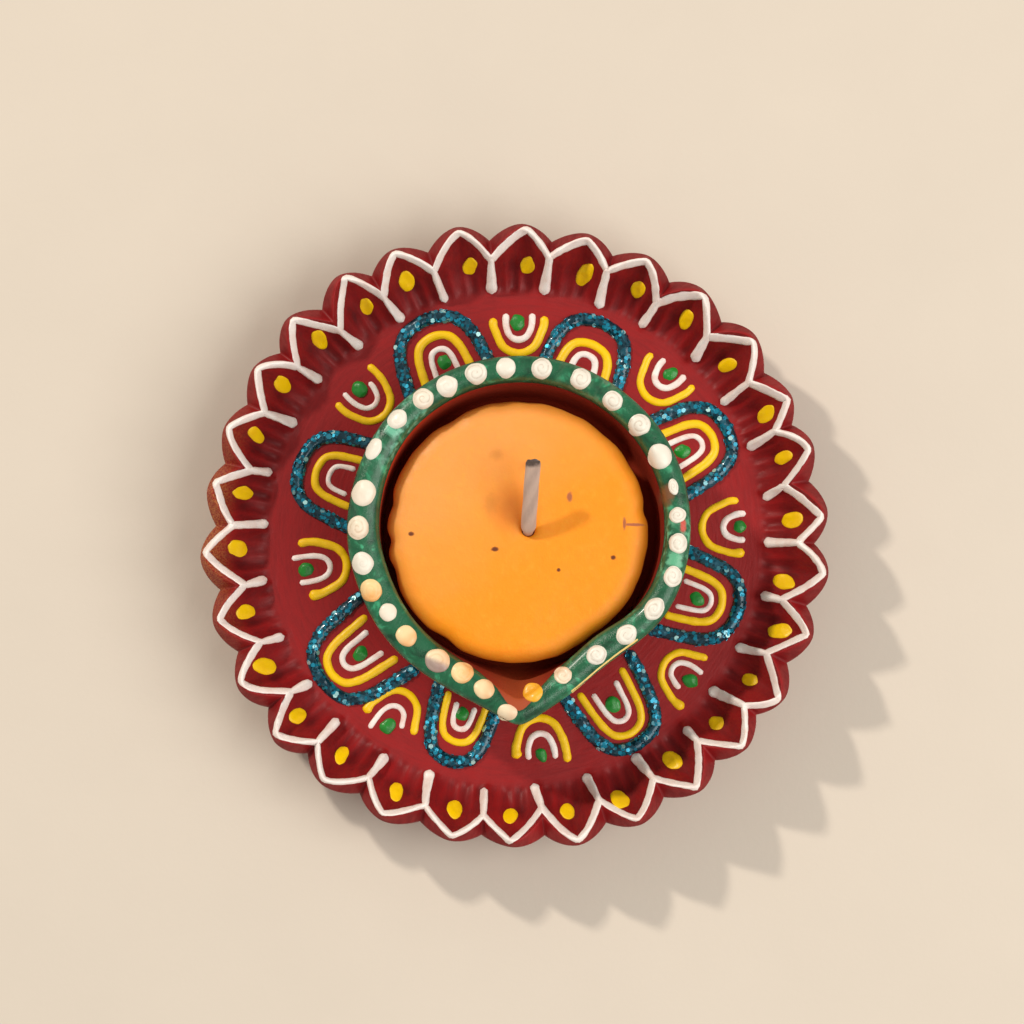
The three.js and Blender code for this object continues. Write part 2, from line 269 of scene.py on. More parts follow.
class Sheet:
    """Writes nodes into one tree."""

    def __init__(self, tree):
        self.tree = tree

    def add(self, kind, inputs=None, **settings):
        """A node with its settings, and with each input either linked or set."""
        node = self.tree.nodes.new(kind)
        for key, value in settings.items():
            setattr(node, key, value)
        for key, value in (inputs or {}).items():
            if isinstance(value, bpy.types.NodeSocket):
                self.tree.links.new(value, node.inputs[key])
            else:
                node.inputs[key].default_value = value
        return node

    def math(self, operation, *values, clamp=False):
        node = self.add(
            "ShaderNodeMath", dict(enumerate(values)), operation=operation, use_clamp=clamp
        )
        return node.outputs[0]

    def times(self, first, second):
        return self.math("MULTIPLY", first, second)

    def plus(self, first, second):
        return self.math("ADD", first, second)

    def minus(self, first, second):
        return self.math("SUBTRACT", first, second)

    def distance(self, x, y):
        """How far x, y lies from the middle."""
        return self.math("SQRT", self.plus(self.math("POWER", x, 2.0), self.math("POWER", y, 2.0)))

    def vector(self, operation, *values):
        return self.add("ShaderNodeVectorMath", dict(enumerate(values)), operation=operation).outputs[0]

    def parts(self, vector):
        return self.add("ShaderNodeSeparateXYZ", {0: vector}).outputs

    def joined(self, x, y, z):
        return self.add("ShaderNodeCombineXYZ", {0: x, 1: y, 2: z}).outputs[0]

    def span(self, value, low, high, to_low=0.0, to_high=1.0):
        """A value mapped smoothly from one span to another."""
        inputs = {"Value": value, "From Min": low, "From Max": high, "To Min": to_low, "To Max": to_high}
        return self.add("ShaderNodeMapRange", inputs, interpolation_type="SMOOTHSTEP").outputs["Result"]

    def noise(self, place, scale, detail=2.0, roughness=0.5, distortion=0.0, seed=0.0):
        """Noise whose scale is given in lumps per metre."""
        inputs = {
            "Vector": place,
            "W": seed,
            "Scale": scale,
            "Detail": detail,
            "Roughness": roughness,
            "Distortion": distortion,
        }
        return self.add("ShaderNodeTexNoise", inputs, noise_dimensions="4D")

    def mix(self, factor, first, second, blend="MIX"):
        """Two colours mixed."""
        node = self.add("ShaderNodeMix", data_type="RGBA", blend_type=blend, clamp_factor=True)
        for socket, value in ((0, factor), (6, first), (7, second)):
            if isinstance(value, bpy.types.NodeSocket):
                self.tree.links.new(value, node.inputs[socket])
            elif socket == 0:
                node.inputs[socket].default_value = value
            else:
                node.inputs[socket].default_value = (*value[:3], 1)
        return node.outputs[2]


def geometry_tree(name, inputs):
    """A Geometry Nodes tree with a geometry input and output, and the named inputs beside it."""
    tree = bpy.data.node_groups.new(name, "GeometryNodeTree")
    for label, kind in {"Geometry": "Geometry", **inputs}.items():
        tree.interface.new_socket(label, in_out="INPUT", socket_type=f"NodeSocket{kind}")
    tree.interface.new_socket("Geometry", in_out="OUTPUT", socket_type="NodeSocketGeometry")
    sheet = Sheet(tree)
    return sheet, sheet.add("NodeGroupInput").outputs


def close_tree(sheet, geometry, finish, smooth=True):
    """Ends a tree in Realize Instances and Set Material."""
    if smooth:
        geometry = sheet.add("GeometryNodeSetShadeSmooth", {"Geometry": geometry}).outputs[0]
    real = sheet.add("GeometryNodeRealizeInstances", {"Geometry": geometry})
    painted = sheet.add("GeometryNodeSetMaterial", {"Geometry": real.outputs[0], "Material": finish})
    sheet.add("NodeGroupOutput", {"Geometry": painted.outputs[0]})
    return sheet.tree


def grown(name, start, tree, values):
    """The plain mesh that a tree makes from a starting mesh."""
    seed = bpy.data.objects.new(name, start)
    bpy.context.scene.collection.objects.link(seed)
    modifier = seed.modifiers.new(tree.name, "NODES")
    modifier.node_group = tree
    for item in tree.interface.items_tree:
        if item.item_type == "SOCKET" and item.in_out == "INPUT" and item.name in values:
            modifier[item.identifier] = values[item.name]
    graph = bpy.context.evaluated_depsgraph_get()
    made = bpy.data.meshes.new_from_object(seed.evaluated_get(graph))
    seed.modifiers.clear()
    bpy.data.objects.remove(seed)
    bpy.data.meshes.remove(start)
    made.name = name
    return made


def draped(sheet, geometry, surface, sink, lowest):
    """Lays a flat drawing on a surface: each point's height is added to the surface's under it."""
    place = sheet.add("GeometryNodeInputPosition").outputs[0]
    x, y, z = sheet.parts(place)
    target = sheet.add("GeometryNodeObjectInfo", {"Object": surface}).outputs["Geometry"]
    ray = sheet.add(
        "GeometryNodeRaycast",
        {
            "Target Geometry": target,
            "Source Position": sheet.joined(x, y, 0.1),
            "Ray Direction": (0, 0, -1),
            "Ray Length": 0.2,
        },
    )
    ground = sheet.math("MAXIMUM", sheet.parts(ray.outputs["Hit Position"])[2], lowest)
    height = sheet.minus(sheet.plus(ground, z), sink)
    inputs = {"Geometry": geometry, "Position": sheet.joined(x, y, height)}
    return sheet.add("GeometryNodeSetPosition", inputs).outputs[0]


def named_value(sheet, name, kind="FLOAT"):
    return sheet.add("GeometryNodeInputNamedAttribute", {"Name": name}, data_type=kind).outputs[0]


def petal_ring_tree():
    """Repeats one petal's wedge round the axis and welds the wedges into one body."""
    sheet, given = geometry_tree("Petal ring", {"Petals": "Int", "Weld": "Float", "Finish": "Material"})
    turns = sheet.add("GeometryNodePoints", {"Count": given["Petals"]}).outputs[0]
    index = sheet.add("GeometryNodeInputIndex").outputs[0]
    turn = sheet.math("DIVIDE", sheet.times(index, TURN), given["Petals"])
    inputs = {"Points": turns, "Instance": given["Geometry"], "Rotation": sheet.joined(0, 0, turn)}
    ring = sheet.add("GeometryNodeInstanceOnPoints", inputs).outputs[0]
    real = sheet.add("GeometryNodeRealizeInstances", {"Geometry": ring}).outputs[0]
    whole = sheet.add("GeometryNodeMergeByDistance", {"Geometry": real, "Distance": given["Weld"]})
    return close_tree(sheet, whole.outputs[0], given["Finish"])


def piping_tree():
    """Pipes round beads of paint along drawn lines and lays them on a surface.

    A profile's -Y side comes out uppermost, so its dome is drawn downwards.
    """
    sheet, given = geometry_tree(
        "Piped paint",
        {
            "Surface": "Object",
            "Step": "Float",
            "Rise": "Float",
            "Sink": "Float",
            "Lowest": "Float",
            "Wander": "Float",
            "Lumps": "Float",
            "Seed": "Float",
            "Finish": "Material",
        },
    )
    drawn = sheet.add("GeometryNodeMeshToCurve", {"Mesh": given["Geometry"]}).outputs[0]
    eased = sheet.add("GeometryNodeCurveSplineType", {"Curve": drawn}, spline_type="CATMULL_ROM").outputs[0]
    evened = sheet.add(
        "GeometryNodeResampleCurve", {"Curve": eased, "Length": given["Step"]}, mode="LENGTH"
    ).outputs[0]

    place = sheet.add("GeometryNodeInputPosition").outputs[0]
    sway = sheet.noise(place, 230.0, 1.0, seed=given["Seed"]).outputs["Color"]
    level = sheet.vector("MULTIPLY", sheet.vector("SUBTRACT", sway, (0.5, 0.5, 0.5)), (1, 1, 0))
    scaled = sheet.add(
        "ShaderNodeVectorMath", {0: level, "Scale": given["Wander"]}, operation="SCALE"
    ).outputs[0]
    inputs = {"Geometry": evened, "Offset": scaled}
    swayed = sheet.add("GeometryNodeSetPosition", inputs).outputs[0]

    done = sheet.add("GeometryNodeSplineParameter").outputs["Length"]
    whole = sheet.add("GeometryNodeSplineLength").outputs["Length"]
    half_width = named_value(sheet, "half_width")
    from_end = sheet.math("MINIMUM", done, sheet.minus(whole, done))
    inset = sheet.minus(1.0, sheet.math("DIVIDE", from_end, half_width, clamp=True))
    round_end = sheet.math("SQRT", sheet.minus(1.0, sheet.times(inset, inset)))
    lump = sheet.noise(place, 900.0, 1.0, seed=given["Seed"]).outputs["Fac"]
    swell = sheet.math("MULTIPLY_ADD", sheet.minus(lump, 0.5), given["Lumps"], 1.0)
    tapered = sheet.times(half_width, sheet.math("MAXIMUM", round_end, 0.15))
    width = sheet.times(tapered, swell)

    ring = sheet.add("GeometryNodeCurvePrimitiveCircle", {"Resolution": 12, "Radius": 1.0}).outputs[0]
    ring_place = sheet.add("GeometryNodeInputPosition").outputs[0]
    x, y, _ = sheet.parts(ring_place)
    dome = sheet.times(sheet.math("MINIMUM", y, sheet.times(y, 0.3)), given["Rise"])
    section = sheet.add("GeometryNodeSetPosition", {"Geometry": ring, "Position": sheet.joined(x, dome, 0.0)})
    upright = sheet.add("GeometryNodeSetCurveNormal", {"Curve": swayed}, mode="Z_UP").outputs[0]
    bead = sheet.add(
        "GeometryNodeCurveToMesh",
        {"Curve": upright, "Profile Curve": section.outputs[0], "Scale": width, "Fill Caps": True},
    ).outputs[0]
    laid = draped(sheet, bead, given["Surface"], given["Sink"], given["Lowest"])
    return close_tree(sheet, laid, given["Finish"])


def dotting_tree():
    """Drops blobs of paint on points, with a piped swirl if wanted, and lays them on a surface."""
    sheet, given = geometry_tree(
        "Dotted paint",
        {
            "Surface": "Object",
            "Rise": "Float",
            "Sink": "Float",
            "Lowest": "Float",
            "Swirl": "Float",
            "Lumps": "Float",
            "Seed": "Float",
            "Finish": "Material",
        },
    )
    ball = sheet.add("GeometryNodeMeshUVSphere", {"Segments": 32, "Rings": 20, "Radius": 1.0}).outputs[0]
    own = sheet.add("GeometryNodeInputPosition").outputs[0]
    inputs = {"Geometry": ball, "Name": "own_place", "Value": own}
    marked = sheet.add("GeometryNodeStoreNamedAttribute", inputs, data_type="FLOAT_VECTOR").outputs[0]
    size = named_value(sheet, "size")
    stretch = named_value(sheet, "stretch")
    turn = named_value(sheet, "turn")
    sizes = sheet.joined(
        sheet.times(size, stretch),
        sheet.math("DIVIDE", size, stretch),
        sheet.times(size, given["Rise"]),
    )
    inputs = {
        "Points": given["Geometry"],
        "Instance": marked,
        "Rotation": sheet.joined(0.0, 0.0, turn),
        "Scale": sizes,
    }
    dropped = sheet.add("GeometryNodeInstanceOnPoints", inputs).outputs[0]
    real = sheet.add("GeometryNodeRealizeInstances", {"Geometry": dropped}).outputs[0]

    own_x, own_y, own_z = sheet.parts(named_value(sheet, "own_place", "FLOAT_VECTOR"))
    out = sheet.distance(own_x, own_y)
    round_about = sheet.math("ARCTAN2", own_y, own_x)
    coil = sheet.math("SINE", sheet.minus(sheet.times(out, CURL), round_about))
    on_top = sheet.span(own_z, 0.0, 0.5)
    wound = sheet.times(coil, named_value(sheet, "curl"))
    curl = sheet.times(sheet.times(wound, on_top), given["Swirl"])
    place = sheet.add("GeometryNodeInputPosition").outputs[0]
    sway = sheet.noise(place, 700.0, 1.0, seed=given["Seed"]).outputs["Color"]
    level = sheet.vector("SUBTRACT", sway, (0.5, 0.5, 0.5))
    scaled = sheet.add(
        "ShaderNodeVectorMath", {0: level, "Scale": given["Lumps"]}, operation="SCALE"
    ).outputs[0]
    x, y, z = sheet.parts(sheet.vector("ADD", place, scaled))
    shallow = sheet.math("MAXIMUM", z, sheet.times(z, 0.3))
    inputs = {"Geometry": real, "Position": sheet.joined(x, y, sheet.plus(shallow, curl))}
    shaped = sheet.add("GeometryNodeSetPosition", inputs).outputs[0]
    laid = draped(sheet, shaped, given["Surface"], given["Sink"], given["Lowest"])
    return close_tree(sheet, laid, given["Finish"])


def flake_tree():
    """Scatters glitter flakes over the upper side of a mesh, each tilted and tinted on its own."""
    sheet, given = geometry_tree(
        "Glitter flakes", {"Density": "Float", "Flake size": "Float", "Seed": "Int", "Finish": "Material"}
    )
    upward = sheet.parts(sheet.add("GeometryNodeInputNormal").outputs[0])[2]
    scattered = sheet.add(
        "GeometryNodeDistributePointsOnFaces",
        {
            "Mesh": given["Geometry"],
            "Selection": sheet.math("GREATER_THAN", upward, 0.15),
            "Density": given["Density"],
            "Seed": given["Seed"],
        },
        distribute_method="RANDOM",
    )
    hexagon = sheet.add(
        "GeometryNodeMeshCylinder", {"Vertices": 6, "Radius": 1.0, "Depth": 0.25}, fill_type="NGON"
    )
    tilt = sheet.add(
        "FunctionNodeRandomValue",
        {0: (-0.25, -0.25, 0.0), 1: (0.25, 0.25, TURN), "Seed": given["Seed"]},
        data_type="FLOAT_VECTOR",
    )
    inputs = {"Rotation": scattered.outputs["Rotation"], "Rotate By": tilt.outputs[0]}
    lie = sheet.add("FunctionNodeRotateRotation", inputs, rotation_space="LOCAL").outputs[0]
    spread = sheet.add("FunctionNodeRandomValue", {2: 0.5, 3: 1.3, "Seed": given["Seed"]})
    size = sheet.times(spread.outputs[1], given["Flake size"])
    inputs = {"Points": scattered.outputs[0], "Instance": hexagon.outputs[0], "Rotation": lie, "Scale": size}
    laid = sheet.add("GeometryNodeInstanceOnPoints", inputs).outputs[0]
    tint = sheet.add("FunctionNodeRandomValue", {2: 0.0, 3: 1.0, "Seed": given["Seed"]})
    tinted = sheet.add(
        "GeometryNodeStoreNamedAttribute",
        {"Geometry": laid, "Name": "tint", "Value": tint.outputs[1]},
        data_type="FLOAT",
        domain="INSTANCE",
    ).outputs[0]
    return close_tree(sheet, tinted, given["Finish"], smooth=False)


# ---------------------------------------------------------------- paints, clay, wax and cotton


def new_material(name):
    """A material with an empty tree, its sheet and its shader."""
    material = bpy.data.materials.new(name)
    material.use_nodes = True
    material.node_tree.nodes.clear()
    sheet = Sheet(material.node_tree)
    shader = sheet.add("ShaderNodeBsdfPrincipled")
    sheet.add("ShaderNodeOutputMaterial", {"Surface": shader.outputs[0]})
    return material, sheet, shader


def set_shader(shader, **values):
    """Sets the shader's own sockets; a word's underscores stand for spaces."""
    for key, value in values.items():
        shader.inputs[key.replace("_", " ")].default_value = value


def plug(sheet, shader, **sockets):
    for key, socket in sockets.items():
        sheet.tree.links.new(socket, shader.inputs[key.replace("_", " ")])


def object_place(sheet):
    return sheet.add("ShaderNodeTexCoord").outputs["Object"]


def stored(sheet, name, output="Fac"):
    return sheet.add("ShaderNodeAttribute", attribute_name=name).outputs[output]


def bumped(sheet, shader, height, strength, distance):
    bump = sheet.add("ShaderNodeBump", {"Height": height, "Strength": strength, "Distance": distance})
    plug(sheet, shader, Normal=bump.outputs[0])


def marked(sheet, place, marks, blur=0.45):
    """A mask of ragged marks, each given as its middle's x and y and its half size along x and y, in mm."""
    ragged = sheet.noise(place, 1500.0, 2.0).outputs["Fac"]
    mask = None
    for x, y, half_x, half_y in marks:
        centre = (x * MM, y * MM, 0.0)
        squeezed = sheet.vector("MULTIPLY", sheet.vector("SUBTRACT", place, centre), (1, half_x / half_y, 0))
        away = sheet.add("ShaderNodeVectorMath", {0: squeezed}, operation="LENGTH").outputs["Value"]
        frayed = sheet.times(away, sheet.plus(ragged, 0.5))
        mark = sheet.span(frayed, half_x * MM * (1 - blur), half_x * MM * (1 + blur), 1.0, 0.0)
        mask = mark if mask is None else sheet.math("MAXIMUM", mask, mark)
    return mask


def maroon_paint(colours):
    """Matte poster paint brushed over clay: darker where the paint ran into pools, with painted shade in the
    grooves, up the scoops and on the outer facets, and paler clay as painted sheen and wear on the left
    petals' edges.
    """
    material, sheet, shader = new_material("maroon_paint")
    place = object_place(sheet)
    x, y, z = sheet.parts(place)
    out = sheet.distance(x, y)
    about = sheet.math("ARCTAN2", y, x)
    round_strokes = sheet.joined(sheet.times(out, 2.2), sheet.times(about, 0.012), z)
    outward_strokes = sheet.joined(sheet.times(out, 0.35), sheet.times(about, 0.07), z)
    on_petals = sheet.span(out, 0.0355, 0.037)
    streak = sheet.add(
        "ShaderNodeMix",
        {
            0: on_petals,
            2: sheet.noise(round_strokes, 900.0, 3.0, 0.6).outputs["Fac"],
            3: sheet.noise(outward_strokes, 900.0, 3.0, 0.6).outputs["Fac"],
        },
        data_type="FLOAT",
    ).outputs[0]
    patch = sheet.noise(place, 90.0, 3.0, 0.55, 0.6).outputs["Fac"]
    grain = sheet.noise(place, 4200.0, 2.0).outputs["Fac"]
    # Painted shade, and paint that ran into pools: darker maroon in the flutes, on the fluted slope, in the
    # scoops below the raised edge and on the outer facets.
    shade_and_pooling = stored(sheet, "shade_and_pooling")
    streaks_pooling_and_shade = sheet.math("MULTIPLY_ADD", sheet.span(streak, 0.35, 0.7), 0.28, shade_and_pooling, clamp=True)
    body = sheet.mix(streaks_pooling_and_shade, colours.maroon, colours.maroon_deep)
    bright = tuple(min(1.0, 1.35 * part) for part in colours.maroon)
    body = sheet.mix(sheet.times(sheet.span(patch, 0.5, 0.78), 0.4), body, bright)
    # Painted sheen and wear: the left petals' edges turn a paler clay colour.
    left_sheen_and_wear = sheet.times(stored(sheet, "left_sheen_and_wear"), sheet.span(grain, 0.35, 0.65))
    body = sheet.mix(left_sheen_and_wear, body, SHEEN_AND_BARE_CLAY)
    worn_foot = sheet.times(sheet.span(z, 0.0009, 0.0002), sheet.span(patch, 0.4, 0.6))
    body = sheet.mix(worn_foot, body, colours.terracotta)
    roughness = sheet.span(streak, 0.2, 0.8, 0.4, 0.62)
    plug(sheet, shader, Base_Color=body, Roughness=roughness)
    set_shader(shader, Specular_IOR_Level=0.3)
    height = sheet.math("MULTIPLY_ADD", streak, 1.0, sheet.times(grain, 0.35))
    bumped(sheet, shader, height, 0.55, 0.00012)
    return material


def rim_paint(colours):
    """Green enamel on the rim and outside, bare red clay inside with painted light on its left and painted
    shade elsewhere, painted shade down the rim's inner face, and a chipped spot.
    """
    material, sheet, shader = new_material("rim_paint")
    place = object_place(sheet)
    x, y, z = sheet.parts(place)
    stroke = sheet.noise(place, 210.0, 3.0, 0.6, 1.6).outputs["Fac"]
    fleck = sheet.noise(place, 700.0, 3.0, 0.6).outputs["Fac"]
    grain = sheet.noise(place, 4800.0, 2.0).outputs["Fac"]
    deep = tuple(0.42 * part for part in colours.green)
    green = sheet.mix(sheet.span(stroke, 0.3, 0.52), deep, colours.green)
    thick = sheet.times(sheet.span(stroke, 0.52, 0.66), sheet.span(fleck, 0.38, 0.58))
    green = sheet.mix(thick, green, colours.green_light)
    about = sheet.math("ARCTAN2", sheet.minus(y, CUP_AXIS.y), sheet.minus(x, CUP_AXIS.x))
    for middle, tint in RIM_STROKES:
        from_middle = sheet.math("ABSOLUTE", sheet.minus(about, math.radians(middle)))
        here = sheet.span(from_middle, math.radians(20), math.radians(5))
        dragged = sheet.noise(sheet.joined(sheet.times(about, 0.02), z, z), 900.0, 3.0).outputs["Fac"]
        here = sheet.times(here, sheet.span(dragged, 0.45, 0.65))
        green = sheet.mix(sheet.times(here, 0.75), green, tint)
    # Painted shade: the green turns darker down the rim's inner face, which faces into the well.
    inner = sheet.span(stored(sheet, "bare"), 0.01, 0.3)
    green = sheet.mix(sheet.times(inner, 0.8), green, deep)
    foot = sheet.span(z, 0.0095, 0.0078)
    green = sheet.mix(foot, green, colours.maroon_deep)

    bare = sheet.plus(stored(sheet, "bare"), sheet.times(sheet.minus(fleck, 0.5), 0.35))
    inside = sheet.span(bare, 0.42, 0.58)
    depth = sheet.span(z, 0.0205, 0.0165)
    # Painted light and shade on the inner wall: bright red on the left, where light falls, darker red
    # elsewhere.
    lip = sheet.mix(stored(sheet, "lip"), WALL_PAINTED_SHADE, colours.lit_wall_red)
    red = sheet.mix(depth, lip, WELL_RED)
    in_spout = stored(sheet, "in_spout")
    red = sheet.mix(in_spout, red, colours.terracotta)
    body = sheet.mix(inside, green, red)
    chip = sheet.times(marked(sheet, place, [(21.9, 5.2, 1.0, 1.4)]), sheet.span(fleck, 0.25, 0.45))
    body = sheet.mix(chip, body, CHIP_BROWN)
    body = sheet.mix(marked(sheet, place, [(24.2, 0.9, 0.4, 1.1)]), body, SCRATCH_RED)
    roughness = sheet.math("MULTIPLY_ADD", inside, 0.35, sheet.span(fleck, 0.2, 0.8, 0.22, 0.4))
    plug(sheet, shader, Base_Color=body, Roughness=roughness)
    set_shader(shader, Specular_IOR_Level=0.35, Coat_Weight=0.25, Coat_Roughness=0.16)
    height = sheet.math("MULTIPLY_ADD", stroke, 1.6, sheet.math("MULTIPLY_ADD", fleck, 0.7, grain))
    bumped(sheet, shader, height, 0.5, 0.00014)
    return material


def slip_clay(colours):
    """Slip smoothed by a finger and painted over."""
    material, sheet, shader = new_material("slip_clay")
    place = object_place(sheet)
    drag = sheet.noise(place, 420.0, 4.0, 0.6, 0.8).outputs["Fac"]
    plug(sheet, shader, Base_Color=sheet.mix(drag, colours.maroon_deep, colours.maroon))
    plug(sheet, shader, Roughness=sheet.span(drag, 0.2, 0.8, 0.45, 0.75))
    bumped(sheet, shader, drag, 0.6, 0.0002)
    return material


def piped_paint(name, main, shade, gloss=0.32, warmth=0.5):
    """Relief paint squeezed from a nozzle: one colour, thinner and duller in places."""
    material, sheet, shader = new_material(name)
    place = object_place(sheet)
    thin = sheet.noise(place, 480.0, 3.0, 0.6, 0.4).outputs["Fac"]
    pits = sheet.noise(place, 5200.0, 2.0).outputs["Fac"]
    cover = sheet.times(sheet.span(thin, 0.42, 0.72), warmth)
    plug(sheet, shader, Base_Color=sheet.mix(cover, main, shade))
    plug(sheet, shader, Roughness=sheet.span(thin, 0.25, 0.75, gloss, gloss + 0.2))
    set_shader(shader, Specular_IOR_Level=0.5)
    bumped(sheet, shader, sheet.math("MULTIPLY_ADD", thin, 1.5, pits), 0.35, 0.0001)
    return material


def pearl_paint(colours):
    """Pearls of white paint with the nozzle's curl left in them and painted shade in its grooves; some were
    tinted by a dirty brush.
    """
    material, sheet, shader = new_material("pearl_paint")
    place = object_place(sheet)
    own_x, own_y, _ = sheet.parts(stored(sheet, "own_place", "Vector"))
    out = sheet.distance(own_x, own_y)
    coil = sheet.math("SINE", sheet.minus(sheet.times(out, CURL), sheet.math("ARCTAN2", own_y, own_x)))
    speck = sheet.noise(place, 1500.0, 3.0, 0.6).outputs["Fac"]
    wound = sheet.times(coil, stored(sheet, "curl"))
    # Painted shade in the grooves of each pearl's swirl.
    groove = sheet.times(sheet.span(wound, -0.3, -1.0), sheet.span(speck, 0.3, 0.65))
    white = sheet.mix(sheet.times(groove, 0.45), colours.pearl, SWIRL_PAINTED_SHADE)
    tint = sheet.mix(sheet.span(own_x, 0.55, -0.3), TINT_ORANGE, TINT_CREAM)
    tint = sheet.mix(sheet.span(stored(sheet, "warmth"), 0.85, 1.0), tint, TINT_AMBER)
    warmth = sheet.times(stored(sheet, "warmth"), sheet.span(speck, 0.1, 0.5, 0.7, 1.0))
    warm = sheet.mix(warmth, white, tint)
    smudge = sheet.times(stored(sheet, "smudge"), sheet.span(own_y, 0.25, -0.35))
    smudge = sheet.times(smudge, 0.75)
    plug(sheet, shader, Base_Color=sheet.mix(smudge, warm, SMUDGE_MAUVE))
    plug(sheet, shader, Roughness=sheet.span(speck, 0.3, 0.7, 0.3, 0.48))
    bumped(sheet, shader, speck, 0.3, 0.00008)
    return material


def glitter_paint(colours):
    """The clear teal body of the glitter paint, banded where the nozzle paused."""
    material, sheet, shader = new_material("glitter_paint")
    place = object_place(sheet)
    cells = sheet.add("ShaderNodeTexVoronoi", {"Vector": place, "Scale": 1300.0, "Randomness": 1.0})
    shade = sheet.parts(cells.outputs["Color"])[0]
    cloud = sheet.noise(place, 600.0, 2.0, 0.5).outputs["Fac"]
    middle = tuple(0.45 * deep + 0.3 * light for deep, light in zip(colours.teal_deep, colours.teal_light))
    body = sheet.mix(sheet.span(shade, 0.35, 0.9), colours.teal_deep, middle)
    body = sheet.mix(sheet.span(cloud, 0.55, 0.75), body, colours.teal_deep)
    plug(sheet, shader, Base_Color=body, Roughness=sheet.span(shade, 0.0, 1.0, 0.18, 0.4))
    set_shader(shader, Metallic=0.25, Coat_Weight=0.4, Coat_Roughness=0.08)
    bumped(sheet, shader, cells.outputs["Distance"], 0.6, 0.00012)
    return material


def glitter_foil(colours):
    """Foil flakes, from deep teal to light teal, with a few painted glints in pale cyan."""
    material, sheet, shader = new_material("glitter_foil")
    tint = stored(sheet, "tint")
    body = sheet.mix(sheet.span(tint, 0.3, 0.62), colours.teal_deep, colours.teal_light)
    # Painted glints: the few palest flakes turn pale cyan.
    body = sheet.mix(sheet.span(tint, 0.93, 0.99), body, FLAKE_GLINT)
    plug(sheet, shader, Base_Color=body, Roughness=sheet.span(tint, 0.0, 1.0, 0.22, 0.4))
    set_shader(shader, Metallic=0.55, Coat_Weight=0.2, Coat_Roughness=0.1)
    return material


def candle_wax(colours):
    """Moulded wax: glowing orange, painted light paler towards the upper left, painted shade on its rounded
    edge, the wick's painted shadow and a few specks.
    """
    material, sheet, shader = new_material("candle_wax")
    place = object_place(sheet)
    x, y, _ = sheet.parts(place)
    lean = sheet.minus(sheet.times(y, 0.75), sheet.times(x, 0.65))
    cloud = sheet.noise(place, 120.0, 3.0, 0.55, 0.5).outputs["Fac"]
    mottle = sheet.noise(place, 900.0, 3.0, 0.6).outputs["Fac"]
    # Painted light: the wax turns paler towards the upper left.
    lit_side = sheet.span(sheet.math("MULTIPLY_ADD", cloud, 0.012, lean), 0.0, 0.022, 0.0, 0.75)
    body = sheet.mix(lit_side, colours.wax, colours.wax_pale)
    body = sheet.mix(sheet.times(sheet.span(mottle, 0.5, 0.8), 0.22), body, WAX_BLOOM)
    middle = (WAX_AXIS.x, WAX_AXIS.y, 0.0)
    flat = sheet.vector("MULTIPLY", place, (1, 1, 0))
    away = sheet.add("ShaderNodeVectorMath", {0: flat, 1: middle}, operation="DISTANCE").outputs["Value"]
    # Painted shade: the wax darkens towards its rounded edge.
    edge = sheet.span(sheet.math("MULTIPLY_ADD", cloud, 0.0016, away), 0.0176, 0.0199)
    body = sheet.mix(sheet.times(edge, 0.75), body, WAX_EDGE_SHADE)
    # Painted shadow: the wick's shadow on the wax, to the left of the wick.
    wick_shadow_centre = (WICK_AXIS.x - 0.0022, WICK_AXIS.y + 0.003, 0.0)
    near_wick = sheet.add("ShaderNodeVectorMath", {0: flat, 1: wick_shadow_centre}, operation="DISTANCE").outputs["Value"]
    wick_shadow = sheet.times(sheet.span(near_wick, 0.0048, 0.0008), sheet.span(cloud, 0.25, 0.6, 0.25, 0.6))
    body = sheet.mix(wick_shadow, body, WICK_SHADOW_ORANGE)
    specks = [(-15.0, -0.2, 0.4, 0.3), (-2.9, -2.4, 0.5, 0.32)]
    specks += [(14.2, -3.6, 0.32, 0.32), (6.3, -5.4, 0.25, 0.25)]
    body = sheet.mix(marked(sheet, place, specks), body, SPECK_BROWN)
    stains = [(7.9, 5.2, 0.4, 0.7), (15.8, 1.3, 0.24, 0.8), (17.1, 1.15, 1.4, 0.22)]
    body = sheet.mix(sheet.times(marked(sheet, place, stains), 0.75), body, STAIN_RED)
    smudges = [(-2.6, 11.3, 0.9, 0.7), (2.0, 9.6, 1.2, 0.6), (-3.6, 4.2, 0.9, 1.4)]
    body = sheet.mix(sheet.times(marked(sheet, place, smudges, 0.8), 0.4), body, WAX_SMUDGE)
    plug(sheet, shader, Base_Color=body, Roughness=sheet.span(mottle, 0.2, 0.8, 0.42, 0.6))
    set_shader(
        shader,
        Subsurface_Weight=0.35,
        Subsurface_Radius=(1.0, 0.45, 0.12),
        Subsurface_Scale=0.003,
        Specular_IOR_Level=0.4,
    )
    fine = sheet.noise(place, 3200.0, 2.0).outputs["Fac"]
    height = sheet.math("MULTIPLY_ADD", cloud, 3.0, sheet.math("MULTIPLY_ADD", fine, 0.35, mottle))
    bumped(sheet, shader, height, 0.35, 0.0002)
    return material


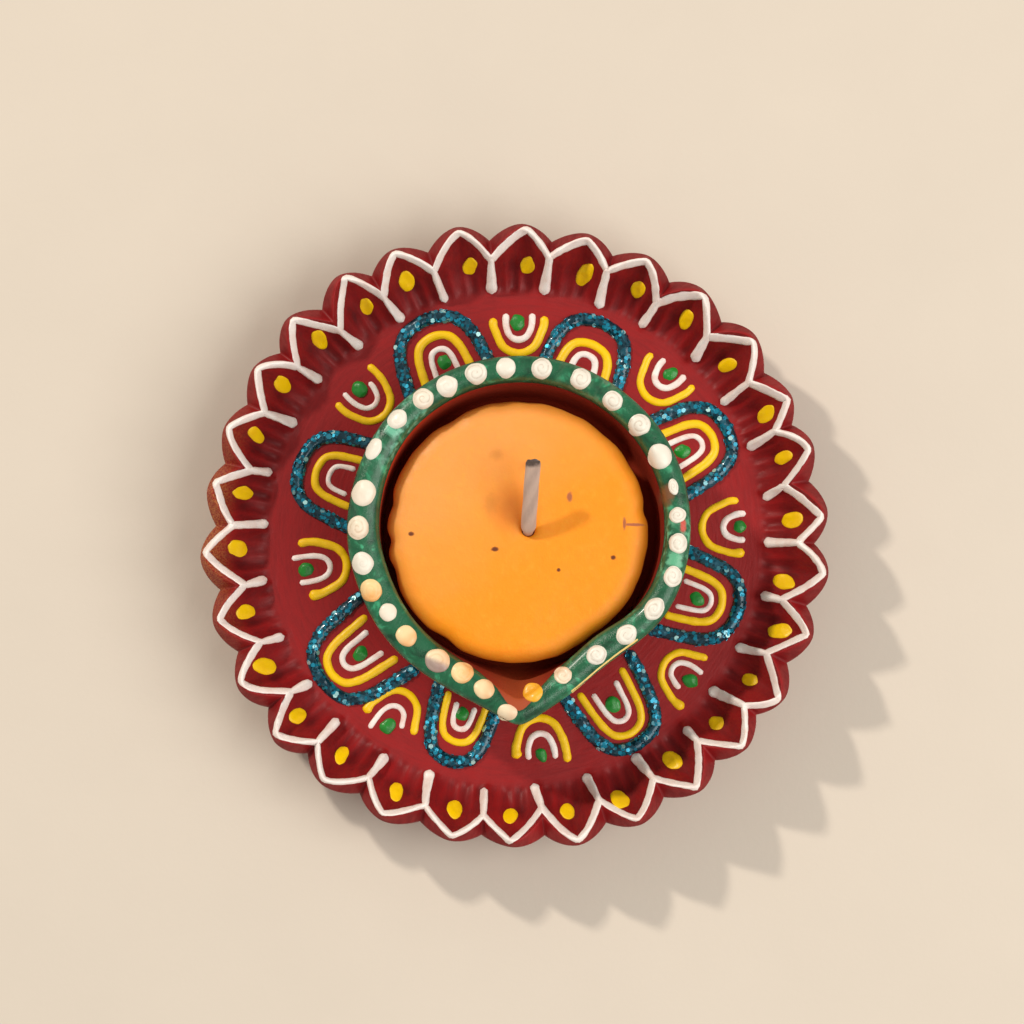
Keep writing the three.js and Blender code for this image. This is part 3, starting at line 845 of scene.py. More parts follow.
def wick_cotton(colours):
    """Waxed cotton, its strands picked out by painted shade between them and painted light on them, and
    charred at the tip.
    """
    material, sheet, shader = new_material("wick_cotton")
    place = object_place(sheet)
    _, _, z = sheet.parts(place)
    strand = stored(sheet, "strand")
    fibre = sheet.noise(sheet.vector("MULTIPLY", place, (1.0, 0.25, 0.25)), 5200.0, 3.0, 0.6).outputs["Fac"]
    blot = sheet.noise(place, 900.0, 2.0).outputs["Fac"]
    pale = tuple(min(1.0, 1.3 * part) for part in colours.cotton)
    # Painted light and shade across the twisted strands, with some fibre noise.
    strand_shading = sheet.math("MULTIPLY_ADD", fibre, 0.5, sheet.span(strand, 0, 1, 0.3, 0.6))
    body = sheet.mix(strand_shading, COTTON_SHADE, pale)
    from_tip = sheet.math("MULTIPLY_ADD", blot, 0.0016, stored(sheet, "along"))
    char = sheet.span(from_tip, 0.0009, 0.0018, 1.0, 0.0)
    body = sheet.mix(char, body, CHAR_BROWN)
    soaked = sheet.span(z, WAX_HIGH.z + 0.0012, WAX_HIGH.z - 0.0002)
    body = sheet.mix(sheet.times(soaked, 0.7), body, SOAKED_ORANGE)
    plug(sheet, shader, Base_Color=body, Roughness=sheet.span(fibre, 0.2, 0.8, 0.6, 0.9))
    set_shader(shader, Sheen_Weight=0.2)
    bumped(sheet, shader, fibre, 0.7, 0.0001)
    return material


def tinplate():
    """Pressed tin with rolling lines and a film of wax."""
    material, sheet, shader = new_material("tinplate")
    place = object_place(sheet)
    rolled = sheet.noise(sheet.vector("MULTIPLY", place, (1.0, 14.0, 1.0)), 260.0, 3.0).outputs["Fac"]
    film = sheet.noise(place, 500.0, 3.0).outputs["Fac"]
    body = sheet.mix(sheet.span(film, 0.5, 0.75, 0.0, 0.5), TIN_GREY, TIN_FILM)
    plug(sheet, shader, Base_Color=body, Roughness=sheet.span(rolled, 0.2, 0.8, 0.22, 0.42))
    set_shader(shader, Metallic=0.95)
    bumped(sheet, shader, rolled, 0.3, 0.00005)
    return material


def pale_floor(colours):
    """Pale plaster with the faintest mottling."""
    material, sheet, shader = new_material("pale_floor")
    place = object_place(sheet)
    mottle = sheet.noise(place, 40.0, 4.0, 0.6).outputs["Fac"]
    shade = tuple(0.93 * part for part in colours.floor)
    plug(sheet, shader, Base_Color=sheet.mix(mottle, shade, colours.floor))
    set_shader(shader, Roughness=0.85, Specular_IOR_Level=0.2)
    bumped(sheet, shader, sheet.noise(place, 900.0, 3.0).outputs["Fac"], 0.15, 0.0002)
    return material


# ---------------------------------------------------------------- shapes


def mix(first, second, amount):
    return first + (second - first) * amount


def smooth(value, low, high):
    amount = np.clip((value - low) / (high - low), 0, 1)
    return amount * amount * (3 - 2 * amount)


def eased(rows, steps):
    """A smooth line through rows of numbers, with a few steps between each and the next."""
    rows = np.asarray(rows, dtype=float)
    padded = np.vstack([2 * rows[0] - rows[1], rows, 2 * rows[-1] - rows[-2]])
    t = np.linspace(0, 1, steps, endpoint=False)[:, None]
    line = []
    for before, start, end, after in zip(padded, padded[1:], padded[2:], padded[3:]):
        bend = 2 * before - 5 * start + 4 * end - after
        twist = 3 * (start - end) + after - before
        line.append(0.5 * (2 * start + (end - before) * t + bend * t**2 + twist * t**3))
    return np.vstack([*line, rows[-1:]])


def ring_mesh(name, rings, closed=False, around=True, facts=None):
    """A mesh from rings of points, each an array of rows of x, y, z.

    closed joins the last ring to the first; otherwise rings that shrink to a point close the ends.
    around joins each ring's last point to its first. facts holds a number for each point, by name.
    """
    rings = np.asarray(rings)
    count, steps, _ = rings.shape
    index = np.arange(count * steps).reshape(count, steps)
    low = index if closed else index[:-1]
    high = np.roll(index, -1, axis=0) if closed else index[1:]
    if around:
        corners = [low, np.roll(low, -1, axis=1), np.roll(high, -1, axis=1), high]
    else:
        corners = [low[:, :-1], low[:, 1:], high[:, 1:], high[:, :-1]]
    faces = np.stack(corners, axis=-1).reshape(-1, 4)
    mesh = bpy.data.meshes.new(name)
    mesh.from_pydata(rings.reshape(-1, 3).tolist(), [], faces.tolist())
    for key, values in (facts or {}).items():
        mesh.attributes.new(key, "FLOAT", "POINT").data.foreach_set("value", np.ravel(values))
    mesh.shade_smooth()
    return mesh


def tidied(mesh, weld=1e-6):
    """Welds doubled points and turns every face outwards."""
    work = bmesh.new()
    work.from_mesh(mesh)
    bmesh.ops.remove_doubles(work, verts=work.verts, dist=weld)
    bmesh.ops.recalc_face_normals(work, faces=work.faces)
    work.to_mesh(mesh)
    work.free()
    return mesh


def off_by(about, bearing_angle):
    """The angle from a bearing to others, between minus half a turn and half a turn."""
    return (about - bearing_angle + math.pi) % TURN - math.pi


def swell(about, middle, width):
    """1 at a bearing, falling away on both sides of it; the width is in degrees."""
    return np.exp(-((off_by(about, middle) / math.radians(width)) ** 2))


def points_of(mesh):
    points = np.empty(len(mesh.vertices) * 3)
    mesh.vertices.foreach_get("co", points)
    return points.reshape(-1, 3)


def move_points(mesh, points):
    mesh.vertices.foreach_set("co", np.ravel(points))
    mesh.update()


def drawing(name, strokes):
    """Drawn lines as a mesh of edges. A stroke is its plan points and half its width at each."""
    points, edges, widths = [], [], []
    for line, half_widths in strokes:
        first = len(points)
        points += [(x, y, 0.0) for x, y in line]
        edges += [(first + step, first + step + 1) for step in range(len(line) - 1)]
        widths += list(np.broadcast_to(half_widths, len(line)))
    mesh = bpy.data.meshes.new(name)
    mesh.from_pydata(points, edges, [])
    mesh.attributes.new("half_width", "FLOAT", "POINT").data.foreach_set("value", widths)
    return mesh


def dot_drawing(name, dots):
    """Dots as a mesh of points. A dot is a dictionary of its place and its other facts."""
    mesh = bpy.data.meshes.new(name)
    mesh.from_pydata([(*dot["place"], 0.0) for dot in dots], [], [])
    for key in dots[0].keys() - {"place"}:
        values = [dot[key] for dot in dots]
        mesh.attributes.new(key, "FLOAT", "POINT").data.foreach_set("value", values)
    return mesh


def plan(bearing_angle, out, across=0.0):
    """A plan point, given how far out it lies along a bearing and how far across it."""
    along = np.array([math.cos(bearing_angle), math.sin(bearing_angle)])
    aside = np.array([-along[1], along[0]])
    return out * along + across * aside


def add_piece(name, mesh, body, material, replaces=()):
    """Puts a finished mesh into the scene, riding on a body and standing for CAD nodes."""
    mesh.materials.clear()
    mesh.materials.append(material)
    piece = bpy.data.objects.new(name, mesh)
    bpy.context.scene.collection.objects.link(piece)
    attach(piece, body)
    if replaces:
        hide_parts(*replaces)
    return piece


def rumple(points, size, seed):
    """Smooth random numbers from about -1 to 1 at points; size is how wide a bump is."""
    offset = Vector((seed, 0.37 * seed, 0.71 * seed))
    return np.array([noise.noise(Vector(point) / size + offset) for point in points])


def polar(points, centre=(0.0, 0.0)):
    """The radius and bearing of rows of x, y, about a centre."""
    x, y = points[..., 0] - centre[0], points[..., 1] - centre[1]
    return np.hypot(x, y), np.arctan2(y, x)


# The petals were spaced by eye. Each pair is a bearing, and how many degrees petals there run ahead.
PETAL_DRIFT = [(-180, 0.3), (-150, 1.2), (-130, 0.5), (-115, 1.9), (-45, 2.2), (-15, 1.1)]
PETAL_DRIFT += [(17, 1.2), (28, -0.5), (55, 1.2), (110, 1.4), (150, 0.0)]
GROOVES = 4


class Petals:
    """The rules that one petal follows, and how far each petal strayed under the potter's thumb.

    A point of a petal has a side, from -1 on the rib to its right to 1 on the rib to its left.
    """

    def __init__(self, sizes):
        self.sizes = sizes
        self.pitch = TURN / sizes.petals
        draw = random.Random(30)
        self.stretch = np.array([draw.uniform(-1, 0.8) for _ in range(sizes.petals)]) * sizes.unevenness
        self.skew = np.array([draw.uniform(-0.008, 0.008) for _ in range(sizes.petals)])
        self.press = np.array([[draw.uniform(0.3, 1.2) for _ in range(GROOVES)] for _ in range(sizes.petals)])

    def ridge(self, side):
        """Radius and height of the raised edge."""
        sizes = self.sizes
        out = mix(sizes.ridge_notch, sizes.ridge_tip, 1 - np.abs(side) ** 1.4)
        return out, sizes.tip_height - sizes.ridge_drop * side**2

    def edge(self, side):
        """Radius and height of the outline."""
        sizes = self.sizes
        lobe = 1 - np.abs(side) ** 1.8
        height = sizes.tip_height - sizes.edge_drop - sizes.ridge_drop * (1 - lobe)
        return mix(sizes.notch_radius, sizes.tip_radius, lobe), height

    def scoop(self, side, rise):
        """Radius and height between the floor's edge, at rise 0, and the raised edge, at rise 1."""
        out, top = self.ridge(side)
        radius = mix(self.sizes.floor_radius, out, rise)
        climb = rise ** mix(1.8, 0.95, side**2)
        return radius, mix(self.sizes.floor_height, top, climb)

    def flute(self, petal, side, radius):
        """How deep a thumb pressed at a point, about 0 on a groove's banks and 1 in its bed."""
        floor = self.sizes.floor_radius
        length = smooth(radius, floor, floor + 1.1 * MM) * (1 - smooth(radius, 39.6 * MM, 42.2 * MM))
        groove = np.clip((side + 1) / 2 * GROOVES, 0, GROOVES - 1).astype(int)
        return np.abs(np.sin(TURN * side)) ** 1.3 * length * self.press[petal, groove]

    def locate(self, about):
        """Which petal a bearing falls on, and on which side of it."""
        turns = (about - self.sizes.first_petal) / self.pitch
        nearest = np.round(turns)
        return nearest.astype(int) % self.sizes.petals, 2 * (turns - nearest)

    def stray(self, points):
        """Moves points as their petal strayed."""
        radius, about = polar(points)
        petal, side = self.locate(about)
        middle = 1 - side**2
        drift = np.interp(np.degrees(about), *np.transpose(PETAL_DRIFT), period=360)
        about = about + np.radians(drift) * smooth(radius, 30 * MM, 36 * MM)
        radius = radius + self.stretch[petal] * middle * smooth(radius, 38 * MM, 45 * MM)
        about = about + self.skew[petal] * middle * smooth(radius, 37 * MM, 44 * MM)
        moved = np.array(points, dtype=float)
        moved[..., 0] = radius * np.cos(about)
        moved[..., 1] = radius * np.sin(about)
        return moved

    def line(self, petal, sides, radii):
        """A plan line over one petal, given the side and radius of each of its points."""
        about = self.sizes.first_petal + (petal + np.asarray(sides) / 2) * self.pitch
        flat = np.stack([radii * np.cos(about), radii * np.sin(about)], axis=-1)
        return self.stray(flat)


def petal_wedge(petals, columns=33):
    """The wedge of the saucer under the first petal, from its underside to its seat."""
    sizes = petals.sizes
    side = np.linspace(-1, 1, columns)
    foot = sizes.foot_radius
    edge_out, edge_top = petals.edge(side)
    ridge_out, ridge_top = petals.ridge(side)
    blank = np.zeros(columns)
    outer = [
        (blank + foot, blank),
        (mix(foot, edge_out, 0.4), blank + 1.6 * MM),
        (mix(foot, edge_out, 0.75), blank + 4.6 * MM),
        (edge_out - 0.5 * MM, edge_top - sizes.lip),
        (edge_out, edge_top - 0.7 * MM),
        (mix(edge_out, ridge_out, 0.25), edge_top + 0.15 * MM),
        (ridge_out, ridge_top),
        petals.scoop(side, np.full(columns, 0.95)),
        petals.scoop(side, np.full(columns, 0.88)),
    ]
    outer = np.array(outer).transpose(0, 2, 1)
    outer = eased(outer.reshape(len(outer), -1), 4).reshape(-1, columns, 2)
    inner = [
        np.stack(petals.scoop(side, np.full(columns, rise)), axis=-1) for rise in np.linspace(0.84, 0, 20)
    ]

    floor, seat, top, low = sizes.floor_radius, sizes.seat_radius, sizes.floor_height, sizes.seat_height
    under = [(0, 0), (0.5 * foot, 0), (foot - 0.5 * MM, 0)]
    dish = [(floor - 1 * MM, top), (floor - 3 * MM, top), (30 * MM, top), (26 * MM, top), (22 * MM, top)]
    dish += [(seat + 0.3 * MM, top), (seat, top - 0.3 * MM), (seat, low + 0.2 * MM), (seat - 0.2 * MM, low)]
    dish += [(0.5 * seat, low), (0, low)]
    level = [np.tile(np.array(row, dtype=float), (columns, 1)) for row in (*under, *dish)]
    rows = np.array([*level[: len(under)], *outer, *inner, *level[len(under) :]])
    about = sizes.first_petal + side * petals.pitch / 2
    rings = np.stack([rows[..., 0] * np.cos(about), rows[..., 0] * np.sin(about), rows[..., 1]], axis=-1)
    return ring_mesh("petal_wedge", rings, around=False)


def saucer_mesh(sizes, material):
    petals = Petals(sizes)
    values = {"Petals": sizes.petals, "Weld": 0.01 * MM, "Finish": material}
    mesh = grown("saucer", petal_wedge(petals), petal_ring_tree(), values)
    points = points_of(mesh)
    radius, about = polar(points)
    petal, side = petals.locate(about)
    upper = points[:, 2] > 4 * MM
    groove = petals.flute(petal, side, radius) * upper
    points[:, 2] -= sizes.flute_depth * groove
    ridge_out, _ = petals.ridge(side)
    slope = upper * smooth(radius, 36.0 * MM, 36.5 * MM) * (1 - smooth(radius, 40.6 * MM, 42.2 * MM))
    outer_facet = upper * smooth(radius - ridge_out, 0.0, 0.8 * MM)
    cove = upper * np.exp(-((side / 0.5) ** 2)) * smooth(radius, 38.6 * MM, 40.6 * MM)
    cove *= 1 - smooth(radius - ridge_out, -0.8 * MM, 0.0)
    # Painted shade, partly paint that ran into pools: the flutes, the fluted slope, the outer facets and the
    # scoops below the raised edge are marked for darker paint.
    shade_and_pooling = np.clip(0.5 * groove + 0.15 * slope + 0.4 * outer_facet + 0.5 * cove, 0, 1)
    points = petals.stray(points)
    inward = (upper & (radius < 30 * MM)) * (1 - smooth(radius, 21 * MM, 30 * MM))
    points[:, 0] += inward * CUP_AXIS.x
    points[:, 1] += inward * CUP_AXIS.y
    loose = smooth(points[:, 2], 0.5 * MM, 3 * MM)
    points[:, 2] += 0.14 * MM * loose * rumple(points, 6 * MM, 3)
    points[:, 2] += 0.05 * MM * loose * rumple(points, 1.6 * MM, 8)
    move_points(mesh, points)
    mesh.attributes.new("shade_and_pooling", "FLOAT", "POINT").data.foreach_set("value", shade_and_pooling)
    # Painted sheen and wear: marks the left petals' edges for a paler clay colour.
    from_left = off_by(about, math.radians(178))
    left_sheen_and_wear = upper * smooth(radius, 41 * MM, 44 * MM) * np.exp(-(from_left**2) / 0.08)
    mesh.attributes.new("left_sheen_and_wear", "FLOAT", "POINT").data.foreach_set("value", left_sheen_and_wear)
    return tidied(mesh)


# Each row is a radius, a height, and how much of the spout's reach the wall takes there.
CUP_PROFILE = [
    (17.6, 4.8, 0),
    (19.5, 6.6, 0),
    (22.4, 11.5, 0.2),
    (24.2, 17.5, 0.75),
    (24.8, 20.8, 1),
    (24.2, 22.1, 1),
    (22.8, 22.5, 1),
    (21.7, 22.0, 1),
    (21.1, 20.6, 1),
    (20.7, 17.0, 0.6),
    (20.2, 12.5, 0.2),
    (19.8, 10.1, 0),
    (18.9, 9.0, 0),
]
CUP_CREST_ROW = 6
CUP_STEPS = 320
THICKER_LEFT = 1.2 * MM  # how far the rim's inner edge stands in at the left
THICKER_PINCH = 0.5 * MM  # and where it is pinched, with room left for the candle to slide out


def spout_reach(sizes, about):
    """How far the spout and the pinch beside it move the cup's wall out, at a bearing."""
    off = off_by(about, SPOUT)
    blunt = math.radians(2.2)
    beak = sizes.beak * np.exp(-(np.hypot(off, blunt) - blunt) / sizes.beak_width)
    return beak - sizes.pinch * np.exp(-(((off - sizes.pinch_at) / sizes.pinch_width) ** 2))


def cup_mesh(sizes):
    steps_between = 5
    profile = np.array(CUP_PROFILE) * (MM, MM, 1)
    profile[:, 0] += sizes.crest_radius - CUP_PROFILE[CUP_CREST_ROW][0] * MM
    rows = eased(profile, steps_between)
    floor = profile[-1, 1]
    foot, flat = profile[0, 1], 9 * MM
    rows = np.vstack([[0, foot, 0], [flat, foot, 0], rows, [flat, floor, 0], [0, floor, 0]])
    about = np.linspace(0, TURN, CUP_STEPS, endpoint=False)
    reach = spout_reach(sizes, about)
    on_left = swell(about, math.radians(210), 55)
    at_pinch = swell(about, SPOUT + sizes.pinch_at, 26)
    past_crest = np.arange(len(rows)) - (2 + CUP_CREST_ROW * steps_between)
    inside = smooth(past_crest.astype(float), 0.0, 6.0)[:, None]
    radius = rows[:, :1] + rows[:, 2:] * reach
    radius -= inside * rows[:, 2:] * (THICKER_LEFT * on_left + THICKER_PINCH * at_pinch)
    sway = np.array([noise.noise(Vector((2.2 * math.cos(a), 2.2 * math.sin(a), 5))) for a in about])
    radius += rows[:, 2:] * 0.22 * MM * sway
    height = rows[:, 1:2] + rows[:, 2:] * 0.12 * MM * np.roll(sway, CUP_STEPS // 3)
    rings = np.stack(
        [CUP_AXIS.x + radius * np.cos(about), CUP_AXIS.y + radius * np.sin(about), height], axis=-1
    )
    in_spout = swell(about, SPOUT, 10)
    # Where painted light falls on the cup's inner wall: its left side.
    lip = swell(about, math.radians(170), 50)
    green_ends = 9 + 1.2 * on_left + 3 * at_pinch - 12 * in_spout
    bare = smooth(past_crest[:, None], green_ends, green_ends + 4)
    facts = {"bare": bare, "in_spout": in_spout + 0 * bare, "lip": lip + 0 * bare}
    return tidied(ring_mesh("cup", rings, facts=facts))


def wall_radius(sizes, height, about):
    """The radius of the cup's outer wall at a height and a bearing."""
    outer = np.array(CUP_PROFILE[: CUP_CREST_ROW - 1]) * (MM, MM, 1)
    radius = np.interp(height, outer[:, 1], outer[:, 0])
    return radius + np.interp(height, outer[:, 1], outer[:, 2]) * spout_reach(sizes, about)


def seam_mesh(sizes):
    """The fillet of slip between the cup's wall and the saucer's floor."""
    about = np.linspace(0, TURN, CUP_STEPS, endpoint=False)
    sway = np.array([noise.noise(Vector((9 * math.cos(a), 9 * math.sin(a), 2))) for a in about])
    wall = wall_radius(sizes, COIL_LOW.z, about)
    tip = wall_radius(sizes, COIL_HIGH.z, about) + 0.05 * MM
    low = COIL_LOW.z - 0.4 * MM
    spread = 2.2 * MM + 0.35 * MM * sway
    climb = COIL_HIGH.z + 0.15 * MM * sway
    rows = [
        (wall - 0.2 * MM, low + 0 * wall),
        (wall + spread, low + 0 * wall),
        (wall + 0.8 * spread, low + 0.35 * MM + 0 * wall),
        (mix(wall + spread, tip, 0.45), mix(low, climb, 0.42)),
        (mix(wall + spread, tip, 0.75), mix(low, climb, 0.72)),
        (tip + 0.1 * MM, climb),
        (tip - 0.5 * MM, climb - 0.1 * MM),
    ]
    rings = [
        np.stack([CUP_AXIS.x + r * np.cos(about), CUP_AXIS.y + r * np.sin(about), z], axis=-1)
        for r, z in rows
    ]
    return tidied(ring_mesh("slip_seam", rings, closed=True))


# ---------------------------------------------------------------- candle

WAX_STEPS = 240
# Each nick in the wax's edge: its bearing in degrees, its depth in mm and its half width in degrees. The wide
# one at 306 is where the rim is pinched in.
NICKS = [(168, 0.55, 5), (184, 0.7, 4), (197, 0.45, 5), (236, 0.5, 6), (121, 0.35, 5), (9, 0.4, 4)]
NICKS += [(306, 0.5, 14)]


def wax_mesh():
    """The wax, bored for the wick, with a recess under it for the tab and a chewed edge."""
    low, high = WAX_LOW.z, WAX_HIGH.z
    outer = (WAX_HIGH.x - WAX_LOW.x) / 2
    tab = (TAB_HIGH.x - TAB_LOW.x) / 2 + 0.3 * MM
    bore, neck = 0.95 * MM, 1.85 * MM
    shoulder = [
        (outer - 3.2 * MM + 3.2 * MM * math.cos(a), high - 1.9 * MM + 1.9 * MM * math.sin(a))
        for a in np.linspace(math.pi / 2, 0, 14)
    ]
    top = [(bore, high - 0.5 * MM), (1.1 * MM, high - 0.3 * MM), (1.5 * MM, high - 0.12 * MM)]
    top += [(r * MM, high - 0.03 * MM) for r in (2.2, 3, 4, 5.5, 7, 8.5, 10, 11.5, 13, 14.5)]
    side = [
        (mix(outer, outer - 0.6 * MM, down), mix(high - 2.2 * MM, low + 0.9 * MM, down))
        for down in (0, 0.3, 0.6, 0.9)
    ]
    under = [(outer - 0.9 * MM, low + 0.35 * MM), (outer - 1.4 * MM, low), (12 * MM, low), (tab, low)]
    under += [(tab, low + 0.7 * MM), (neck, low + 0.7 * MM), (neck, low + 4.3 * MM), (bore, low + 4.3 * MM)]
    rows = np.array([*top, *shoulder, *side, *under])
    about = np.linspace(0, TURN, WAX_STEPS, endpoint=False)
    radius = rows[:, :1] + 0 * about
    height = rows[:, 1:] + 0 * about
    on_edge = smooth(radius, 14 * MM, outer)
    for degrees, depth, width in NICKS:
        off = off_by(about, math.radians(degrees))
        nick = depth * MM * np.exp(-((off / math.radians(width)) ** 2))
        radius = radius - on_edge * nick * (height > low + 2 * MM)
    wobble = np.array([noise.noise(Vector((7 * math.cos(a), 7 * math.sin(a), 1))) for a in about])
    radius -= on_edge * 0.16 * MM * (wobble + 0.6)
    slide = smooth(rows[:, :1], 6.7 * MM, 16 * MM)
    rings = np.stack(
        [
            mix(WICK_AXIS.x, WAX_AXIS.x, slide) + radius * np.cos(about),
            mix(WICK_AXIS.y, WAX_AXIS.y, slide) + radius * np.sin(about),
            height,
        ],
        axis=-1,
    )
    flat = rings.reshape(-1, 3)
    on_top = smooth(flat[:, 2], high - 3 * MM, high - 0.5 * MM)
    lumps = 0.16 * rumple(flat, 7 * MM, 4) + 0.06 * rumple(flat, 1.8 * MM, 6) - 0.12
    flat[:, 2] += on_top * lumps * MM
    return tidied(ring_mesh("wax", rings, closed=True))


def tab_mesh():
    """The pressed tin tab, with a rolled rim and a neck crimped in six places."""
    low = TAB_LOW.z
    outer = (TAB_HIGH.x - TAB_LOW.x) / 2
    neck, bore = 1.5 * MM, 1.0 * MM
    rows = [(bore, 0.02), (bore + 0.3 * MM, 0.0), (0.5 * outer, 0.0), (outer - 0.25 * MM, 0.0)]
    rows += [(outer, 0.12), (outer, 0.3), (outer - 0.25 * MM, 0.4)]
    rows += [(outer - 0.7 * MM, 0.33), (0.55 * outer, 0.3)]
    rows += [(neck + 0.7 * MM, 0.34), (neck + 0.15 * MM, 0.7), (neck, 1.4), (neck, 2.4), (neck, 3.4)]
    rows += [(neck - 0.05 * MM, 3.9), (neck - 0.2 * MM, 4.0), (bore, 3.9), (bore, 2.0)]
    about = np.linspace(0, TURN, 96, endpoint=False)
    radius = np.array([row[0] for row in rows])[:, None] + 0 * about
    rise = np.array([row[1] for row in rows])[:, None]
    crimped = smooth(rise, 1.0, 2.2) * (1 - smooth(radius, 1.6 * MM, 2.0 * MM)) * smooth(radius, bore, neck)
    radius -= crimped * 0.28 * MM * np.clip(np.cos(6 * about), 0, 1) ** 2
    rings = np.stack(
        [
            WICK_AXIS.x + radius * np.cos(about),
            WICK_AXIS.y + radius * np.sin(about),
            low + rise * MM + 0 * about,
        ],
        axis=-1,
    )
    return tidied(ring_mesh("tab", rings, closed=True))


def wick_mesh():
    """Three strands of cotton twisted together, from the tab up through the wax to the leaning tip."""
    foot = np.array([WICK_AXIS.x, WICK_AXIS.y, WICK_LOW.z])
    top = WAX_HIGH.z
    lean = np.array([0.7 * MM, WICK_HIGH.y - WICK_AXIS.y - 0.55 * MM, WICK_HIGH.z - top - 0.55 * MM])
    rise = np.array([0, 0, top - WICK_LOW.z])
    fractions = [(0, 0, 0), (0.4, 0, 0), (0.75, 0, 0), (1.0, 0, 0), (1, 0.12, 0.2), (1, 0.5, 0.58), (1, 1, 1)]
    route = [foot + up * rise + lean * (out, out, climb) for up, out, climb in fractions]
    line = eased(route, 16)
    steps = np.linalg.norm(np.diff(line, axis=0), axis=1)
    run = np.concatenate([[0], np.cumsum(steps)])
    even = np.linspace(0, run[-1], 110)
    line = np.stack([np.interp(even, run, line[:, axis]) for axis in range(3)], axis=-1)
    along = np.gradient(line, axis=0)
    along /= np.linalg.norm(along, axis=1)[:, None]
    sideways = np.tile([1.0, 0.0, 0.0], (len(line), 1))
    upward = np.cross(along, sideways)
    upward /= np.linalg.norm(upward, axis=1)[:, None]
    about = np.linspace(0, TURN, 36, endpoint=False)
    twist = even[:, None] * TURN / (16 * MM)
    strand = 0.5 + 0.5 * np.cos(3 * (about - twist))
    radius = 0.78 * MM * (0.95 + 0.05 * np.sqrt(strand))
    frayed = smooth(even, even[-1] - 0.35 * MM, even[-1])[:, None]
    radius = radius * (1 - 0.12 * frayed)
    above = smooth(line[:, 2], top - 0.3 * MM, top + 1.0 * MM)[:, None]
    wide = (1 + 0.42 * above) * radius * np.cos(about)
    thick = (1 - 0.1 * above) * radius * np.sin(about)
    rings = line[:, None] + wide[..., None] * sideways[:, None] + thick[..., None] * upward[:, None]
    ragged = 0.07 * MM * np.cos(5 * about)[:, None] * along[-1]
    rings[-1] += ragged
    ends = [np.tile(line[0], (1, 36, 1)), rings, np.tile(line[-1] - 0.1 * MM * along[-1], (1, 36, 1))]
    rings = np.concatenate(ends)
    strand = np.concatenate([strand[:1], strand, strand[-1:]])
    to_tip = np.concatenate([even[-1:], even[-1] - even, [0]])[:, None] + 0 * about
    return tidied(ring_mesh("wick", rings, facts={"strand": strand, "along": to_tip}))


# ---------------------------------------------------------------- relief paint


def piped(name, strokes, surface, material, rise, sink=0.12 * MM, wander=0.25 * MM, lumps=0.35, lowest=0.0):
    values = {
        "Surface": surface,
        "Step": 0.3 * MM,
        "Rise": rise,
        "Sink": sink,
        "Lowest": lowest,
        "Wander": wander,
        "Lumps": lumps,
        "Seed": 1.0,
        "Finish": material,
    }
    return tidied(grown(name, drawing(name, strokes), piping_tree(), values))


def dotted(name, dots, surface, material, rise, lumps, swirl=0.0, lowest=0.0):
    values = {
        "Surface": surface,
        "Rise": rise,
        "Sink": 0.1 * MM,
        "Lowest": lowest,
        "Swirl": swirl,
        "Lumps": lumps,
        "Seed": 1.0,
        "Finish": material,
    }
    return tidied(grown(name, dot_drawing(name, dots), dotting_tree(), values))


FOOT_SPREAD = 1.12  # an arch's half width at its foot, against its half width further out
CAD_LINE = 0.95  # half the width of the frame's arch lines, in mm
GLITTER_FOOT, YELLOW_FOOT, WHITE_FOOT = 22.6, 24.2, 25.4  # where each line starts, in mm from the axis


def arch_line(reach, half_width, foot):
    """An arch drawn from its right foot out to its crown and back, as out and across pairs in mm."""
    rise = reach - foot
    leg = [
        (foot, FOOT_SPREAD * half_width),
        (foot + 0.4 * rise, 1.05 * half_width),
        (foot + 0.71 * rise, 0.94 * half_width),
        (foot + 0.92 * rise, 0.64 * half_width),
    ]
    return [(out, -across) for out, across in leg] + [(reach, 0.0)] + leg[::-1]


def hook_line(bottom, right, left, half_width):
    """A U that opens outwards: from the end of its right arm round its bottom to the end of its left."""
    bend = bottom + 0.9 * half_width
    return [
        (right, -half_width),
        (mix(bend, right, 0.5), -1.02 * half_width),
        (bend, -0.93 * half_width),
        (bottom + 0.25 * half_width, -0.6 * half_width),
        (bottom, 0.0),
        (bottom + 0.25 * half_width, 0.6 * half_width),
        (bend, 0.93 * half_width),
        (mix(bend, left, 0.5), 1.02 * half_width),
        (left, half_width),
    ]


def plotted(bearing_angle, line):
    """A line of out and across pairs in mm, turned to a bearing."""
    return [tuple(plan(bearing_angle, out * MM, across * MM)) for out, across in line]


# For each glitter arch, by its number: the crown of its yellow line, the crown of its white line and the
# place of its green dot, all in mm from the lamp's axis. A dot at 0 was never painted.
ARCH_LINES = {
    1: (32.8, 31.0, 27.8),
    2: (30.9, 29.2, 0),
    3: (32.2, 30.2, 28.1),
    4: (30.9, 28.9, 0),
    5: (33.5, 31.2, 28.3),
    6: (31.2, 29.2, 26.9),
    7: (33.3, 31.1, 28.4),
    8: (31.9, 30.3, 28.2),
}
